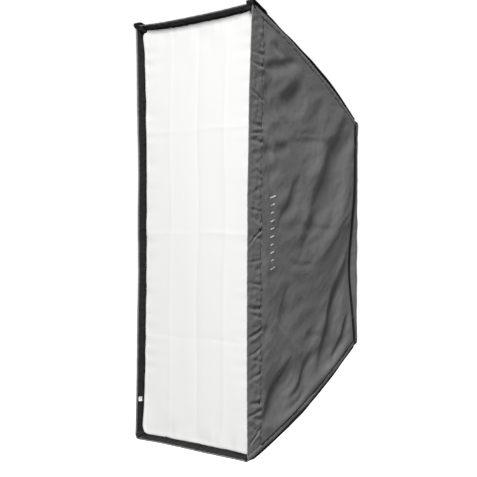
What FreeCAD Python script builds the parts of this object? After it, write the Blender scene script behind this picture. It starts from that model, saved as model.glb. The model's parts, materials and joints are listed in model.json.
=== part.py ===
import FreeCAD, Part
import math
import os

import Sketcher

# Strip softbox, 500 x 1300 mm, on a rotating speedring.
# Row frame: +Z up, light leaves along -Y, the lamp head fastens from +Y.
# The origin is on the lamp axis, in the plane where the head's flange seats.
# "Depth" below is measured backwards from the front rim: y = depth - seat_depth.

DRIVING = {
    # fabric shell
    "front_width": 500.0,
    "front_height": 1300.0,
    "seat_depth": 680.0,
    "lip_depth": 60.0,
    "seam_depth": 596.0,
    "fold_depth": 617.0,
    "back_depth": 666.0,
    "seam_half_height": 366.0,
    "fold_half_height": 361.0,
    "throat_half": 58.0,
    "throat_radius": 88.0,
    "rod_bow": 19.0,
    "fabric": 1.5,
    "rear_side_fabric": 2.8,
    "rear_end_fabric": 8.5,
    "mitre_gap": 0.5,
    "corner_gap": 14.0,
    "piping_radius": 2.2,
    "piping_gap": 0.4,
    # spring rods, their sleeves and pockets
    "rod_inset": 9.0,
    "rod_radius": 2.75,
    "rod_tip_depth": 10.0,
    "rod_sweep_radius": 3075.0,
    "elbow_radius": 40.0,
    "socket_tilt": 8.3,
    "spoke_radius": 95.0,
    "spoke_depth": 650.0,
    "rod_root": 74.0,
    "sleeve_outer": 8.4,
    "sleeve_inner": 3.6,
    "sleeve_front": 67.0,
    "sleeve_rear": 586.0,
    "pocket_bore": 4.9,
    "pocket_cap": 2.0,
    "pocket_front": 7.0,
    "pocket_length": 52.0,
    "ball_radius": 4.2,
    "ball_hole": 2.85,
    # front diffuser, its tapes, and the inner baffle
    "diffuser_depth": 27.0,
    "diffuser_notch": 26.0,
    "tape": 1.2,
    "tape_gap": 0.3,
    "tape_front": 30.0,
    "tape_rear": 54.0,
    "tape_end_gap": 19.0,
    "label_height": 14.0,
    "label_depth": 12.0,
    "label_thickness": 0.8,
    "label_position": -531.0,
    "label_stand_off": 1.0,
    "label_set_back": 3.0,
    "baffle_depth": 330.0,
    "baffle_margin": 30.0,
    "strap_width": 20.0,
    "strap_length": 31.0,
    "strap_overlap": 12.0,
    # lamp insert
    "bore_radius": 45.5,
    "collar_radius": 48.5,
    "collar_length": 11.0,
    "land_radius": 62.0,
    "flange_radius": 75.0,
    "flange_front": 11.0,
    "flange_rear": 3.0,
    "lug_radius": 52.5,
    "lug_angle": 36.0,
    "lug_front": 6.0,
    "lug_rear": 9.5,
    # speedring and its retaining ring
    "recess_radius": 75.1,
    "ring_radius": 84.0,
    "ring_length": 42.0,
    "web_front": 15.0,
    "web_rear": 11.3,
    "web_radius": 66.0,
    "skirt_radius": 78.0,
    "ring_rear": 2.7,
    "keeper_radius": 64.0,
    "keeper_rear": 1.0,
    "keeper_screw_circle": 79.5,
    "keeper_screw_radius": 1.5,
    "keeper_screw_head": 2.8,
    "keeper_screw_length": 9.0,
    "screw_gap": 0.1,
    "collar_gap": 0.4,
    "collar_front": 660.0,
    "collar_rear": 676.0,
    # rod sockets
    "socket_radius": 7.0,
    "socket_bore": 3.05,
    "socket_foot": 78.0,
    "socket_top": 126.0,
    "socket_seat": 84.2,
    "set_screw_radius": 2.0,
    "set_screw_length": 6.0,
    "set_screw_position": 116.0,
    "ferrule_radius": 3.9,
    "ferrule_bottom": 130.0,
    "ferrule_length": 24.0,
    # clamping screws and their knobs
    "boss_radius": 5.7,
    "boss_foot": 80.0,
    "boss_top": 96.0,
    "boss_gap": 0.6,
    "lock_depth": 8.5,
    "lock_radius": 3.0,
    "lock_tip": 75.25,
    "lock_end": 110.0,
    "lock_clearance": 0.1,
    "knob_radius": 8.0,
    "knob_bottom": 99.0,
    "knob_top": 113.0,
    "flute_radius": 1.8,
    "flute_circle": 8.6,
}

CORNERS = {
    "upper_right": (1, 1),
    "lower_right": (1, -1),
    "lower_left": (-1, -1),
    "upper_left": (-1, 1),
}
FLUTES = 8
LUGS = 3
KEEPER_SCREWS = 4

doc = FreeCAD.newDocument("StripSoftbox")
sheet = doc.addObject("Spreadsheet::Sheet", "Sizes")
for row, (alias, value) in enumerate(DRIVING.items(), start=1):
    sheet.set(f"A{row}", alias)
    sheet.set(f"B{row}", str(value))
    sheet.setAlias(f"B{row}", alias)
doc.recompute()

X, Y, Z = (FreeCAD.Vector(*v) for v in ((1, 0, 0), (0, 1, 0), (0, 0, 1)))
NODES = {}


def size(alias):
    """A driving dimension, read back from the spreadsheet."""
    return float(sheet.get(alias))


def cell(expression):
    """An expression in which @name stands for the spreadsheet's cell of that name."""
    return expression.replace("@", "Sizes.")


def keep(node, item):
    """Records an object as a sub-part, under the name that its file gets."""
    item.Label = node
    NODES[node] = item
    return item


# ---------------------------------------------------------------- the shell's profile

# At a share u of the way from the rim to the seam the shell's half height is a chord with a
# shallow bow, because the spring rods are bent. The half width follows so that each rod stays
# in one plane through the lamp axis.
LEAN = "((@front_width / 2 - @rod_inset) / (@front_height / 2 - @rod_inset))"


def half_height(depth):
    u = f"(({depth}) / @seam_depth)"
    chord = f"@front_height / 2 + (@seam_half_height - @front_height / 2) * {u}"
    return f"({chord} + 4 * @rod_bow * {u} * (1 - {u}))"


def half_width(height):
    return f"(@rod_inset + ({height} - @rod_inset) * {LEAN})"


def station(depth):
    """Depth, half width and half height of the shell at a depth in front of the seam."""
    height = half_height(depth)
    return depth, half_width(height), height


SEAM_REAR = "(@seam_depth + @piping_radius + @piping_gap)"
SEAM_FRONT = "(@seam_depth - @piping_radius - @piping_gap)"
SHELL_FRONT = "(@lip_depth + @tape_gap)"
SHELL = [f"({SHELL_FRONT} + ({SEAM_FRONT} - {SHELL_FRONT}) * {k} / 4)" for k in range(5)]


# ---------------------------------------------------------------- sketches and features


def new_body(name):
    return doc.addObject("PartDesign::Body", name)


def new_sketch(body, role, name, offset=None):
    """A sketch on one of the body's origin planes, moved along the plane's normal by offset."""
    plane = next(f for f in body.Origin.OriginFeatures if f.Role == role)
    sketch = body.newObject("Sketcher::SketchObject", name)
    sketch.AttachmentSupport = (plane, [""])
    sketch.MapMode = "FlatFace"
    if offset is not None:
        sketch.setExpression(".AttachmentOffset.Base.z", cell(offset))
    return sketch


def drive(sketch, constraint, expression):
    """Adds a dimension and binds it to an expression of the spreadsheet's cells."""
    index = sketch.addConstraint(constraint)
    sketch.setExpression(f"Constraints[{index}]", cell(expression))


def polygon(sketch, corners):
    """A closed polygon whose corners are pairs of cell expressions."""
    first, count = sketch.GeometryCount, len(corners)
    turns = [2 * math.pi * i / count for i in range(count)]
    at = [FreeCAD.Vector(50 * math.cos(t), 50 * math.sin(t), 0) for t in turns]
    for i in range(count):
        sketch.addGeometry(Part.LineSegment(at[i], at[(i + 1) % count]), False)
    for i in range(count):
        after = first + (i + 1) % count
        sketch.addConstraint(Sketcher.Constraint("Coincident", first + i, 2, after, 1))
    for i, (a, b) in enumerate(corners):
        drive(sketch, Sketcher.Constraint("DistanceX", -1, 1, first + i, 1, at[i].x), a)
        drive(sketch, Sketcher.Constraint("DistanceY", -1, 1, first + i, 1, at[i].y), b)
    return sketch


def rectangle(sketch, low_x, high_x, low_y, high_y):
    return polygon(
        sketch, [(low_x, low_y), (high_x, low_y), (high_x, high_y), (low_x, high_y)]
    )


def circle(sketch, radius, x="0", y="0"):
    i = sketch.addGeometry(Part.Circle(FreeCAD.Vector(5, 5, 0), Z, 3), False)
    drive(sketch, Sketcher.Constraint("DistanceX", -1, 1, i, 3, 5), x)
    drive(sketch, Sketcher.Constraint("DistanceY", -1, 1, i, 3, 5), y)
    drive(sketch, Sketcher.Constraint("Radius", i, 3), radius)
    return sketch


def at_depth(body, name, depth):
    """A sketch across the lamp axis at a depth; its x is the row's x, its y the row's z."""
    return new_sketch(body, "XZ_Plane", name, f"@seat_depth - ({depth})")


def revolve(node, corners):
    """A body turned about the lamp axis from a profile of (radius, y) expressions."""
    body = new_body(node)
    sketch = polygon(new_sketch(body, "XY_Plane", f"{node}_profile"), corners)
    turned = body.newObject("PartDesign::Revolution", f"{node}_turned")
    turned.Profile = sketch
    turned.ReferenceAxis = (sketch, ["V_Axis"])
    turned.Angle = 360.0
    return body


def pocket(body, sketch, length, name, backwards):
    cut = body.newObject("PartDesign::Pocket", name)
    cut.Profile = sketch
    cut.Reversed = backwards
    cut.Midplane = False
    cut.setExpression("Length", cell(length))
    return cut


def cylinder(name, radius, height, placement):
    item = doc.addObject("Part::Cylinder", name)
    item.setExpression("Radius", cell(radius))
    item.setExpression("Height", cell(height))
    item.Placement = placement
    return item


def cut(name, base, tools):
    """Base with every tool taken away from it."""
    tool = tools[0]
    if len(tools) > 1:
        tool = doc.addObject("Part::MultiFuse", f"{name}_tools")
        tool.Shapes = tools
    result = doc.addObject("Part::Cut", name)
    result.Base = base
    result.Tool = tool
    return result


def group(node, items):
    """Several like pieces as one sub-part of separate solids."""
    result = doc.addObject("Part::Compound", node)
    result.Links = items
    return keep(node, result)


# ---------------------------------------------------------------- placements


def move(x, y, z):
    return FreeCAD.Placement(FreeCAD.Vector(x, y, z), FreeCAD.Rotation())


def turn(axis, degrees):
    return FreeCAD.Placement(FreeCAD.Vector(), FreeCAD.Rotation(axis, degrees))


CORNER_TURN = math.degrees(
    math.atan2(
        size("front_width") / 2 - size("rod_inset"),
        size("front_height") / 2 - size("rod_inset"),
    )
)


def corner_placement(corner):
    """Turns +Z about the lamp axis to the plane that holds a corner's rod."""
    sx, sz = CORNERS[corner]
    angle = CORNER_TURN if sz > 0 else 180 - CORNER_TURN
    return turn(Y, sx * angle)


def spoke_placement(corner, radius):
    """On a rod's straight rear end, at a distance from the lamp axis, with +Z outwards."""
    tilt = size("socket_tilt")
    along = (radius - size("spoke_radius")) / math.cos(math.radians(tilt))
    start = move(0, size("spoke_depth") - size("seat_depth"), size("spoke_radius"))
    return corner_placement(corner) * start * turn(X, tilt) * move(0, 0, along)


# ---------------------------------------------------------------- the rods' centreline


def height_at(depth):
    u = depth / size("seam_depth")
    front, seam = size("front_height") / 2, size("seam_half_height")
    return front + (seam - front) * u + 4 * size("rod_bow") * u * (1 - u)


def in_rod_plane(depth):
    """Where a rod is at a depth, in its own plane: (y, distance from the lamp axis)."""
    reach = (height_at(depth) - size("rod_inset")) / math.cos(math.radians(CORNER_TURN))
    return FreeCAD.Vector(depth - size("seat_depth"), reach, 0)


def sweep_centre():
    """The centre of the long arc through the rod's tip and its end at the seam."""
    tip, seam = in_rod_plane(size("rod_tip_depth")), in_rod_plane(size("seam_depth"))
    chord = seam - tip
    inwards = FreeCAD.Vector(chord.y, -chord.x, 0).normalize()
    rise = math.sqrt(size("rod_sweep_radius") ** 2 - (chord.Length / 2) ** 2)
    return (tip + seam) * 0.5 + inwards * rise


SWEEP = sweep_centre()


def on_sweep(depth):
    """The point of the long arc at a depth."""
    y = depth - size("seat_depth")
    rise = math.sqrt(size("rod_sweep_radius") ** 2 - (y - SWEEP.x) ** 2)
    return FreeCAD.Vector(y, SWEEP.y + rise, 0)


def steepness(point):
    """Degrees between the lamp axis and the long arc at one of its points."""
    return math.degrees(math.atan2(point.x - SWEEP.x, point.y - SWEEP.y))


def arc(start, end, centre, radius):
    """The arc between two points that is on the side away from the lamp axis."""
    middle = centre + ((start + end) * 0.5 - centre).normalize() * radius
    return Part.Arc(start, middle, end)


def elbow():
    """The elbow's centre, and the points where it meets the long arc and the straight end."""
    tilt = math.radians(size("socket_tilt"))
    outwards = FreeCAD.Vector(-math.sin(tilt), math.cos(tilt), 0)
    forwards = FreeCAD.Vector(-math.cos(tilt), -math.sin(tilt), 0)
    spoke = FreeCAD.Vector(
        size("spoke_depth") - size("seat_depth"), size("spoke_radius"), 0
    )
    bend = size("elbow_radius")
    base = spoke + forwards * bend - SWEEP
    b, c = base.dot(outwards), base.dot(base) - (size("rod_sweep_radius") - bend) ** 2
    centre = SWEEP + base + outwards * (math.sqrt(b * b - c) - b)
    meets_sweep = SWEEP + (centre - SWEEP).normalize() * size("rod_sweep_radius")
    return centre, meets_sweep, centre - forwards * bend


def pipe(body, name, path, start, radii):
    """A round bar or tube along a path that begins on the long arc."""
    slope = steepness(start)
    profile = new_sketch(body, "XZ_Plane", f"{name}_profile")
    profile.AttachmentOffset = FreeCAD.Placement(
        FreeCAD.Vector(0, start.y, -start.x), FreeCAD.Rotation(X, -slope)
    )
    for radius in radii:
        circle(profile, radius)
    swept = body.newObject("PartDesign::AdditivePipe", f"{name}_swept")
    swept.Profile = profile
    swept.Spine = (path, [])
    return swept


def path_sketch(body, name, curves):
    """A sketch of joined curves in a rod's own plane, beginning at the rod's tip."""
    path = new_sketch(body, "YZ_Plane", f"{name}_path")
    for curve in curves:
        path.addGeometry(curve, False)
    # a sketch keeps every arc anticlockwise, so these arcs end where they were begun
    ends = [1 if isinstance(curve, Part.Arc) else 2 for curve in curves]
    for i in range(len(curves) - 1):
        path.addConstraint(
            Sketcher.Constraint("Coincident", i, ends[i], i + 1, 3 - ends[i + 1])
        )
    return path


def spring_rod(corner):
    node = f"rod_{corner}"
    body = new_body(node)
    centre, bend_start, bend_end = elbow()
    tip = in_rod_plane(size("rod_tip_depth"))
    tilt = math.radians(size("socket_tilt"))
    inner = size("rod_root") - size("spoke_radius")
    root = FreeCAD.Vector(
        size("spoke_depth") - size("seat_depth") - inner * math.tan(tilt),
        size("rod_root"),
        0,
    )
    curves = [
        arc(tip, bend_start, SWEEP, size("rod_sweep_radius")),
        arc(bend_start, bend_end, centre, size("elbow_radius")),
        Part.LineSegment(bend_end, root),
    ]
    pipe(body, node, path_sketch(body, node, curves), tip, ["@rod_radius"])
    body.Placement = corner_placement(corner)
    return keep(node, body)


def rod_sleeve(corner):
    node = f"sleeve_{corner}"
    body = new_body(node)
    start, end = on_sweep(size("sleeve_front")), on_sweep(size("sleeve_rear"))
    path = path_sketch(body, node, [arc(start, end, SWEEP, size("rod_sweep_radius"))])
    pipe(body, node, path, start, ["@sleeve_outer", "@sleeve_inner"])
    body.Placement = corner_placement(corner)
    return keep(node, body)


def tip_placement(corner):
    """On a rod's tip, with +Y backwards along the rod."""
    tip = in_rod_plane(size("rod_tip_depth"))
    return corner_placement(corner) * move(0, tip.x, tip.y) * turn(X, -steepness(tip))


def corner_pocket(corner):
    """The stitched cup that a rod's tip pushes into."""
    front = "-@pocket_front"
    body = revolve(
        f"corner_pocket_{corner}",
        [
            ("0", front),
            ("@sleeve_outer", front),
            ("@sleeve_outer", "@pocket_length - @pocket_front"),
            ("@pocket_bore", "@pocket_length - @pocket_front"),
            ("@pocket_bore", f"{front} + @pocket_cap"),
            ("0", f"{front} + @pocket_cap"),
        ],
    )
    body.Placement = tip_placement(corner)
    return keep(f"corner_pocket_{corner}", body)


def rod_ball(corner):
    """The rounded cap on a rod's tip."""
    ball = doc.addObject("Part::Sphere", f"ball_{corner}")
    ball.setExpression("Radius", cell("@ball_radius"))
    ball.Placement = tip_placement(corner)
    seat = tip_placement(corner) * move(0, -size("screw_gap"), 0) * turn(X, -90)
    hole = cylinder(f"ball_hole_{corner}", "@ball_hole", "2 * @ball_radius", seat)
    return cut(f"rod_ball_{corner}", ball, [hole])


# ---------------------------------------------------------------- fabric panels


def slab(node, side, stations, offset, thickness, end_gap, ruled=False):
    """
    One side of the shell between several depths, offset inwards from the shell's outer face.
    """
    body = new_body(node)
    sections = []
    for k, (depth, width, height) in enumerate(stations):
        across = width if side in ("right", "left") else height
        along = height if side in ("right", "left") else width
        outer, inner = f"{across} - {offset}", f"{across} - {offset} - {thickness}"
        if side in ("left", "bottom"):
            outer, inner = f"-({inner})", f"-({outer})"
        reach = f"({along} - {end_gap})"
        span = (inner, outer, f"-{reach}", reach)
        if side in ("top", "bottom"):
            span = span[2:] + span[:2]
        sections.append(rectangle(at_depth(body, f"{node}_{k}", depth), *span))
    loft = body.newObject("PartDesign::AdditiveLoft", f"{node}_loft")
    loft.Profile = sections[0]
    loft.Sections = [(section, [""]) for section in sections[1:]]
    loft.Ruled = ruled
    return body


def rear_panel(side):
    """From the piped seam round the rear fold and in to the speedring."""
    node = f"rear_{side}_panel"
    upright = side in ("right", "left")
    folded = "@rear_side_fabric" if upright else "@rear_end_fabric"
    gap = "(@rear_end_fabric + @mitre_gap)" if upright else "0"
    fold = ("@fold_depth", half_width("@fold_half_height"), "@fold_half_height")
    throat = ("@back_depth", "@throat_half", "@throat_half")
    seam = (SEAM_REAR, half_width("@seam_half_height"), "@seam_half_height")
    body = slab(node, side, [seam, fold, throat], "0", folded, gap, ruled=True)
    hole = circle(at_depth(body, f"{node}_throat", "@fold_depth"), "@throat_radius")
    length = "@back_depth - @fold_depth + @fabric"
    pocket(body, hole, length, f"{node}_cut", False)
    return keep(node, body)


def front_pieces():
    rim = [station("0"), station("@lip_depth")]
    tape = [station("@tape_front"), station("@tape_rear")]
    loops, hooks = [], []
    for side in ("right", "left", "top", "bottom"):
        keep(f"{side}_lip", slab(f"{side}_lip", side, rim, "0", "@fabric", "@corner_gap"))
        offset = "(@fabric + @tape_gap)"
        loops.append(slab(f"loop_{side}", side, tape, offset, "@tape", "@tape_end_gap"))
        offset = "(@fabric + 2 * @tape_gap + @tape)"
        hooks.append(slab(f"hook_{side}", side, tape, offset, "@tape", "@tape_end_gap"))
    group("lip_loop_tape", loops)
    group("diffuser_hook_border", hooks)


def front_diffuser():
    """The white front cloth, with its corners cut back from the rod pockets."""
    body = new_body("front_diffuser")
    _, width, height = station("@diffuser_depth")
    inset = "(@fabric + 2 * @tape_gap + @tape)"
    w, h = f"({width} - {inset})", f"({height} - {inset})"
    narrow, short = f"({w} - @diffuser_notch)", f"({h} - @diffuser_notch)"
    corners = [
        (w, f"-{short}"),
        (w, short),
        (narrow, h),
        (f"-{narrow}", h),
        (f"-{w}", short),
        (f"-{w}", f"-{short}"),
        (f"-{narrow}", f"-{h}"),
        (narrow, f"-{h}"),
    ]
    sketch = polygon(at_depth(body, "diffuser_outline", "@diffuser_depth"), corners)
    pad = body.newObject("PartDesign::Pad", "diffuser_pad")
    pad.Profile = sketch
    pad.setExpression("Length", cell("@fabric"))
    pad.Reversed = True
    keep("front_diffuser", body)


def inner_baffle():
    """The second diffuser inside the box, hung by a strap from each rod sleeve."""
    body = new_body("inner_baffle")
    _, width, height = station("@baffle_depth")
    w, h = f"({width} - @baffle_margin)", f"({height} - @baffle_margin)"
    sketch = at_depth(body, "baffle_outline", "@baffle_depth")
    rectangle(sketch, f"-{w}", w, f"-{h}", h)
    pad = body.newObject("PartDesign::Pad", "baffle_pad")
    pad.Profile = sketch
    pad.setExpression("Length", cell("@fabric"))
    pad.Reversed = True
    keep("inner_baffle", body)
    rod = in_rod_plane(size("baffle_depth"))
    reach = FreeCAD.Rotation(Y, CORNER_TURN).multVec(FreeCAD.Vector(0, 0, rod.y))
    inwards = size("baffle_margin") - size("rod_inset")
    straps = []
    for corner, (sx, sz) in CORNERS.items():
        strap = doc.addObject("Part::Box", f"strap_{corner}")
        strap.setExpression("Length", cell("@strap_width"))
        strap.setExpression("Width", cell("@tape"))
        strap.setExpression("Height", cell("@strap_length"))
        at = move(sx * (reach.x - inwards), 0, sz * (reach.z - inwards))
        diagonal = turn(Y, sx * (45 if sz > 0 else 135))
        rear = size("baffle_depth") - size("seat_depth") + size("fabric")
        lift = move(-size("strap_width") / 2, rear, -size("strap_overlap"))
        strap.Placement = at * diagonal * lift
        straps.append(strap)
    group("baffle_straps", straps)


def shoulder_piping():
    """The piped cord in the seam round the back of the main panels."""
    body = new_body("shoulder_piping")
    path = new_sketch(body, "XZ_Plane", "piping_path")
    bend = size("rod_inset")
    height = size("seam_half_height")
    width = bend + (height - bend) * math.tan(math.radians(CORNER_TURN))
    edge = size("fabric") / 2
    w, h, r = width - edge, height - edge, bend - edge
    path.AttachmentOffset = move(0, 0, size("seat_depth") - size("seam_depth"))
    vector = FreeCAD.Vector
    middle = r * math.sqrt(0.5)
    sides = []
    for sx, sz in ((1, 1), (-1, 1), (-1, -1), (1, -1)):
        centre = vector(sx * (w - r), sz * (h - r), 0)
        upright, level = vector(sx * w, centre.y, 0), vector(centre.x, sz * h, 0)
        corner = centre + vector(sx * middle, sz * middle, 0)
        ends = (upright, level) if sx * sz > 0 else (level, upright)
        sides.append((ends[0], corner, ends[1]))
    for k, (start, corner, end) in enumerate(sides):
        path.addGeometry(Part.Arc(start, corner, end), False)
        path.addGeometry(Part.LineSegment(end, sides[(k + 1) % 4][0]), False)
    count = path.GeometryCount
    for i in range(count):
        path.addConstraint(Sketcher.Constraint("Coincident", i, 2, (i + 1) % count, 1))
    profile = new_sketch(body, "YZ_Plane", "piping_profile")
    profile.AttachmentOffset = move(size("seam_depth") - size("seat_depth"), h, 0)
    circle(profile, "@piping_radius")
    swept = body.newObject("PartDesign::AdditivePipe", "piping_swept")
    swept.Profile = profile
    swept.Spine = (path, [])
    keep("shoulder_piping", body)


def rear_collar():
    """The band that grips the speedring, notched for the two lock bosses."""
    body = revolve(
        "collar",
        [
            ("@ring_radius + @collar_gap", "@collar_front - @seat_depth"),
            ("@throat_radius - @collar_gap", "@collar_front - @seat_depth"),
            ("@throat_radius - @collar_gap", "@collar_rear - @seat_depth"),
            ("@ring_radius + @collar_gap", "@collar_rear - @seat_depth"),
        ],
    )
    notches = []
    for sign in (1, -1):
        at = lock_placement(sign, size("boss_foot"))
        length = "@boss_top - @boss_foot"
        radius = "@boss_radius + @boss_gap"
        notches.append(cylinder(f"notch{sign + 1}", radius, length, at))
    keep("rear_collar", cut("collar_notched", body, notches))


def fabric():
    main = [station(depth) for depth in SHELL]
    for side in ("right", "left", "top", "bottom"):
        node = f"{side}_panel"
        keep(node, slab(node, side, main, "0", "@fabric", "@corner_gap"))
        rear_panel(side)
    front_pieces()
    front_diffuser()
    inner_baffle()
    shoulder_piping()
    rear_collar()
    label = doc.addObject("Part::Box", "label")
    label.setExpression("Length", cell("@label_thickness"))
    label.setExpression("Width", cell("@label_depth"))
    label.setExpression("Height", cell("@label_height"))
    inner = size("front_width") / 2 - size("fabric") - 2 * size("label_thickness")
    x = size("label_stand_off") - inner
    y = size("label_set_back") - size("seat_depth")
    at = move(x, y, size("label_position"))
    label.Placement = at
    keep("care_label", label)


# ---------------------------------------------------------------- the metal parts


def mount_insert():
    """The turning insert that the lamp head pushes on to, with its bayonet lugs."""
    body = revolve(
        "mount_insert",
        [
            ("@bore_radius", "-@flange_front"),
            ("@flange_radius", "-@flange_front"),
            ("@flange_radius", "-@flange_rear"),
            ("@land_radius", "-@flange_rear"),
            ("@land_radius", "0"),
            ("@collar_radius", "0"),
            ("@collar_radius", "@collar_length"),
            ("@bore_radius", "@collar_length"),
        ],
    )
    sketch = new_sketch(body, "XY_Plane", "lug_profile")
    low = "(@collar_radius - 1)"
    rectangle(sketch, low, "@lug_radius", "@lug_front", "@lug_rear")
    lug = body.newObject("PartDesign::Revolution", "lug")
    lug.Profile = sketch
    lug.ReferenceAxis = (sketch, ["V_Axis"])
    lug.setExpression("Angle", cell("@lug_angle * 1deg"))
    lugs = body.newObject("PartDesign::PolarPattern", "lugs")
    lugs.Originals = [lug]
    lugs.Axis = (sketch, ["V_Axis"])
    lugs.Angle = 360.0
    lugs.Occurrences = LUGS
    body.Tip = lugs
    keep("mount_insert", body)


def lock_placement(sign, radius):
    """On a lock screw's axis at a distance from the lamp axis, with +Z outwards."""
    flip = turn(Y, 0 if sign > 0 else 180)
    return flip * move(0, -size("lock_depth"), radius)


def keeper_hole(k, depth):
    """On one of the retaining screws' axes, with +Z forwards."""
    angle = 45 + 360 * k / KEEPER_SCREWS
    circle_radius = size("keeper_screw_circle")
    return turn(Y, angle) * move(0, -depth, circle_radius) * turn(X, 90)


def speedring():
    body = revolve(
        "ring",
        [
            ("@ring_radius", "-@ring_length"),
            ("@ring_radius", "-@ring_rear"),
            ("@recess_radius", "-@ring_rear"),
            ("@recess_radius", "-@web_rear"),
            ("@web_radius", "-@web_rear"),
            ("@web_radius", "-@web_front"),
            ("@skirt_radius", "-@web_front"),
            ("@skirt_radius", "-@ring_length"),
        ],
    )
    solid, holes = [body], []
    for sign in (1, -1):
        boss = "@boss_top - @boss_foot"
        at = lock_placement(sign, size("boss_foot"))
        solid.append(cylinder(f"boss{sign + 1}", "@boss_radius", boss, at))
        at = lock_placement(sign, size("web_radius"))
        length = "@boss_top - @web_radius + 1"
        bore = "@lock_radius + @lock_clearance"
        holes.append(cylinder(f"lock_bore{sign + 1}", bore, length, at))
    for corner in CORNERS:
        at = spoke_placement(corner, size("web_radius"))
        length = "@ring_radius - @web_radius + 4"
        holes.append(cylinder(f"rod_bore_{corner}", "@socket_bore", length, at))
    for k in range(KEEPER_SCREWS):
        radius = "@keeper_screw_radius + @screw_gap"
        at = keeper_hole(k, 0)
        length = "@keeper_screw_length + 1"
        holes.append(cylinder(f"ring_screw_hole{k}", radius, length, at))
    rough = doc.addObject("Part::MultiFuse", "ring_with_bosses")
    rough.Shapes = solid
    keep("speedring", cut("speedring_cut", rough, holes))


def retaining_ring():
    """The flat ring that keeps the insert in the speedring."""
    body = revolve(
        "keeper",
        [
            ("@keeper_radius", "-@ring_rear"),
            ("@ring_radius", "-@ring_rear"),
            ("@ring_radius", "-@keeper_rear"),
            ("@keeper_radius", "-@keeper_rear"),
        ],
    )
    holes, screws = [], []
    for k in range(KEEPER_SCREWS):
        at = keeper_hole(k, 0)
        radius = "@keeper_screw_head + @screw_gap"
        holes.append(cylinder(f"keeper_hole{k}", radius, "@ring_rear + 1", at))
        at = keeper_hole(k, size("keeper_rear"))
        height = "@keeper_screw_length - @keeper_rear"
        shank = cylinder(f"shank{k}", "@keeper_screw_radius", height, at)
        thick = "@ring_rear - @keeper_rear"
        head = cylinder(f"head{k}", "@keeper_screw_head", thick, at)
        screw = doc.addObject("Part::MultiFuse", f"retaining_screw{k}")
        screw.Shapes = [shank, head]
        screws.append(screw)
    keep("retaining_ring", cut("keeper_cut", body, holes))
    group("retaining_screws", screws)


def rod_sockets():
    screws, ferrules = [], []
    for corner in CORNERS:
        foot = spoke_placement(corner, size("socket_foot"))
        length = "(@socket_top - @socket_foot)"
        tube = cylinder(f"tube_{corner}", "@socket_radius", length, foot)
        bore = cylinder(f"bore_{corner}", "@socket_bore", f"{length} + 5", foot)
        seat = cylinder(
            f"seat_{corner}", "@socket_seat", "@seat_depth / 5", turn(X, 90)
        )
        across = spoke_placement(corner, size("set_screw_position")) * turn(X, 90)
        hole = cylinder(
            f"set_hole_{corner}",
            "@set_screw_radius + @screw_gap",
            "2 * @socket_radius",
            across,
        )
        keep(
            f"rod_socket_{corner}", cut(f"socket_{corner}", tube, [bore, seat, hole])
        )
        at = across * move(0, 0, size("socket_bore") + size("screw_gap"))
        screws.append(
            cylinder(f"set_{corner}", "@set_screw_radius", "@set_screw_length", at)
        )
        at = spoke_placement(corner, size("ferrule_bottom"))
        shell = cylinder(f"band_{corner}", "@ferrule_radius", "@ferrule_length", at)
        inner = cylinder(
            f"band_bore_{corner}", "@socket_bore", "@ferrule_length + 5", at
        )
        ferrules.append(cut(f"ferrule_{corner}", shell, [inner]))
    group("socket_screws", screws)
    group("rod_ferrules", ferrules)


def lock(sign, name):
    """A clamping screw and the knob that turns it."""
    length = "@lock_end - @lock_tip"
    at = lock_placement(sign, size("lock_tip"))
    screw = cylinder(f"screw_{name}", "@lock_radius", length, at)
    keep(f"lock_screw_{name}", screw)
    at = lock_placement(sign, size("knob_bottom"))
    height = "@knob_top - @knob_bottom"
    grip = cylinder(f"grip_{name}", "@knob_radius", height, at)
    bore = "@lock_radius + @lock_clearance"
    depth = "@lock_end - @knob_bottom + @lock_clearance"
    tools = [cylinder(f"knob_bore_{name}", bore, depth, at)]
    for k in range(FLUTES):
        flute = at * turn(Z, 360 * k / FLUTES) * move(size("flute_circle"), 0, 0)
        tools.append(cylinder(f"flute_{name}_{k}", "@flute_radius", height, flute))
    keep(f"lock_knob_{name}", cut(f"knob_{name}", grip, tools))


def metal():
    mount_insert()
    speedring()
    retaining_ring()
    rod_sockets()
    lock(1, "upper")
    lock(-1, "lower")
    balls = []
    for corner in CORNERS:
        spring_rod(corner)
        rod_sleeve(corner)
        corner_pocket(corner)
        balls.append(rod_ball(corner))
    group("rod_tips", balls)


def export():
    doc.recompute()
    for item in doc.Objects:
        if {"Invalid", "Error"} & set(item.State):
            raise RuntimeError(f"{item.Name} ({item.Label}) is in state {item.State}")
    os.makedirs("parts", exist_ok=True)
    for node, item in NODES.items():
        shape = item.Shape
        if shape.isNull() or not shape.isValid():
            raise RuntimeError(f"{node} has no valid shape")
        shape.exportStep(f"parts/{node}.step")
        box = shape.BoundBox
        spans = f"{box.XMin:.1f}..{box.XMax:.1f} {box.YMin:.1f}..{box.YMax:.1f}"
        print(f"{node:28} {len(shape.Solids)} {shape.Volume:12.1f} {spans}")


fabric()
metal()
export()
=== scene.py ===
import json
import math

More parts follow.
